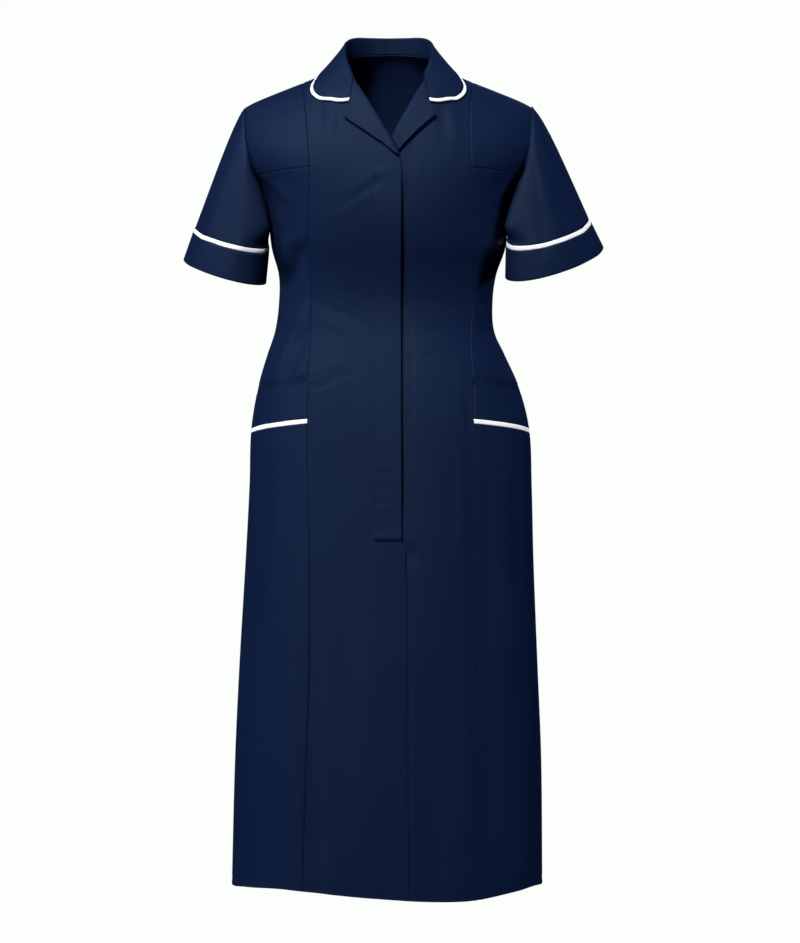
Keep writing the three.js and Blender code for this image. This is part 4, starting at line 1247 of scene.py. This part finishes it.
def build_stitches():
    pitch, length = sizes().stitch_pitch, sizes().stitch
    x = np.linspace(-1, 1, 240)
    wide = smooth_at(SECTIONS, HEM_Z) - 5
    stitch_row("stitches_hem_front", [hem_line(x * wide, True)], pitch, length)
    stitch_row("stitches_hem_back", [hem_line(x * wide, False)], pitch, length)
    z = np.linspace(FLY_STITCH_TOP_Z, FLY_END_Z + 5, 120)
    x = PLACKET_OUTER_X + 0.9 + 0 * z
    line = on_cloth(x, z, np.maximum(FLAT_THREAD, placket_lift(x, z, 0) + STRIP / 2 + 0.05))
    stitch_row("stitches_fly", [line], pitch, length)
    bars = [zigzag(*bar) for bar in BARTACKS]
    stitch_row("stitches_bars", bars, BAR_PITCH, BAR_STITCH)
    start, end, level = POCKET_TICK
    tick = on_cloth(np.linspace(start, end, 12), level, FLAT_THREAD)
    stitch_row("stitches_pocket_bag", [tick], pitch, length)


# Stage

def build_stage():
    """Pale floor, soft studio light and the camera."""
    mesh = bpy.data.meshes.new("floor")
    angles = np.linspace(0, 2 * math.pi, 65)[:-1]
    ring = [(FLOOR_REACH * math.cos(a), FLOOR_REACH * math.sin(a), FLOOR_Z) for a in angles]
    mesh.from_pydata(ring, [], [tuple(range(64))])
    material, tree, shader = new_material("uniform_floor", colours().floor)
    shader.inputs["Base Color"].default_value = (*colours().floor, 1)
    shader.inputs["Roughness"].default_value = 0.9
    shader.inputs["Emission Color"].default_value = PALE
    shader.inputs["Emission Strength"].default_value = 1.0
    shader.inputs["Specular IOR Level"].default_value = 0
    mesh.materials.append(material)
    floor = bpy.data.objects.new("floor", mesh)
    bpy.context.scene.collection.objects.link(floor)
    floor.visible_diffuse = False
    floor.visible_glossy = False
    world = bpy.data.worlds.new("studio")
    bpy.context.scene.world = world
    world.use_nodes = True
    background = world.node_tree.nodes["Background"]
    background.inputs["Color"].default_value = PALE
    background.inputs["Strength"].default_value = 1.0
    world.cycles_visibility.diffuse = False
    world.cycles_visibility.glossy = False
    bpy.context.scene.view_settings.view_transform = "Standard"
    for name, place, aim, size, power in LIGHTS:
        light = bpy.data.lights.new(name, "AREA")
        light.shape = "DISK"
        light.size = size
        light.energy = power
        lamp = bpy.data.objects.new(name, light)
        lamp.visible_glossy = name == "key"
        lamp.location = place
        lamp.rotation_euler = (Vector(aim) - Vector(place)).to_track_quat("-Z", "Y").to_euler()
        bpy.context.scene.collection.objects.link(lamp)
    lens = bpy.data.cameras.new("camera")
    lens.sensor_width = CAMERA_SENSOR
    lens.lens = CAMERA_LENS
    camera = bpy.data.objects.new("camera", lens)
    camera.location = CAMERA_PLACE
    camera.rotation_euler = (math.pi / 2, 0, 0)
    bpy.context.scene.collection.objects.link(camera)
    bpy.context.scene.camera = camera


# Operators

class PieceOperator:
    """What every operator of the uniform shares"""

    bl_options = {"REGISTER", "UNDO"}
    build = None

    def execute(self, context):
        type(self).build()
        return {"FINISHED"}


class UNIFORM_OT_front_centres(PieceOperator, bpy.types.Operator):
    """Builds both centre fronts, the right one lapped over the left one"""

    bl_idname = "uniform.front_centres"
    bl_label = "Front centres"
    build = staticmethod(build_front_centres)


class UNIFORM_OT_placket(PieceOperator, bpy.types.Operator):
    """Builds the fly strip over the lapped edge"""

    bl_idname = "uniform.placket"
    bl_label = "Fly strip"
    build = staticmethod(build_placket)


class UNIFORM_OT_side_panels(PieceOperator, bpy.types.Operator):
    """Builds the yokes, side fronts, pocket bands, their piping and the side skirts"""

    bl_idname = "uniform.side_panels"
    bl_label = "Side panels and pockets"
    build = staticmethod(build_side_panels)


class UNIFORM_OT_back(PieceOperator, bpy.types.Operator):
    """Builds the back with its two darts"""

    bl_idname = "uniform.back"
    bl_label = "Back"
    build = staticmethod(build_back)


class UNIFORM_OT_collar(PieceOperator, bpy.types.Operator):
    """Builds the rolled collar and its piping"""

    bl_idname = "uniform.collar"
    bl_label = "Collar"
    build = staticmethod(build_collar)


class UNIFORM_OT_lapels(PieceOperator, bpy.types.Operator):
    """Builds the two notched lapels"""

    bl_idname = "uniform.lapels"
    bl_label = "Lapels"
    build = staticmethod(build_lapels)


class UNIFORM_OT_sleeves(PieceOperator, bpy.types.Operator):
    """Builds the sleeves, their piping and their turned cuffs"""

    bl_idname = "uniform.sleeves"
    bl_label = "Sleeves and cuffs"
    build = staticmethod(build_sleeves)


class UNIFORM_OT_stitches(PieceOperator, bpy.types.Operator):
    """Sets the rows of stitches and the bartacks"""

    bl_idname = "uniform.stitches"
    bl_label = "Stitches"
    build = staticmethod(build_stitches)


class UNIFORM_OT_stage(PieceOperator, bpy.types.Operator):
    """Builds the floor, the light and the camera"""

    bl_idname = "uniform.stage"
    bl_label = "Stage"
    build = staticmethod(build_stage)


STEPS = (
    UNIFORM_OT_stage, UNIFORM_OT_front_centres, UNIFORM_OT_placket, UNIFORM_OT_side_panels, UNIFORM_OT_back,
    UNIFORM_OT_collar, UNIFORM_OT_lapels, UNIFORM_OT_sleeves, UNIFORM_OT_stitches,
)


class UNIFORM_PT_pieces(bpy.types.Panel):
    """Lists the sizes, the colours and the pieces of the uniform"""

    bl_idname = "UNIFORM_PT_pieces"
    bl_label = "Nurse uniform dress"
    bl_space_type = "VIEW_3D"
    bl_region_type = "UI"
    bl_category = "Uniform"

    def draw(self, context):
        for group in (context.scene.uniform_sizes, context.scene.uniform_colours):
            for key in type(group).__annotations__:
                self.layout.prop(group, key)
        for step in STEPS:
            self.layout.operator(step.bl_idname)


CLASSES = (UniformSizes, UniformColours, *STEPS, UNIFORM_PT_pieces)


def register():
    for item in CLASSES:
        bpy.utils.register_class(item)
    bpy.types.Scene.uniform_sizes = bpy.props.PointerProperty(type=UniformSizes)
    bpy.types.Scene.uniform_colours = bpy.props.PointerProperty(type=UniformColours)


def unregister():
    del bpy.types.Scene.uniform_colours
    del bpy.types.Scene.uniform_sizes
    for item in reversed(CLASSES):
        bpy.utils.unregister_class(item)


def main():
    register()
    for step in STEPS:
        group, name = step.bl_idname.split(".")
        getattr(getattr(bpy.ops, group), name)()


if __name__ == "__main__":
    main()
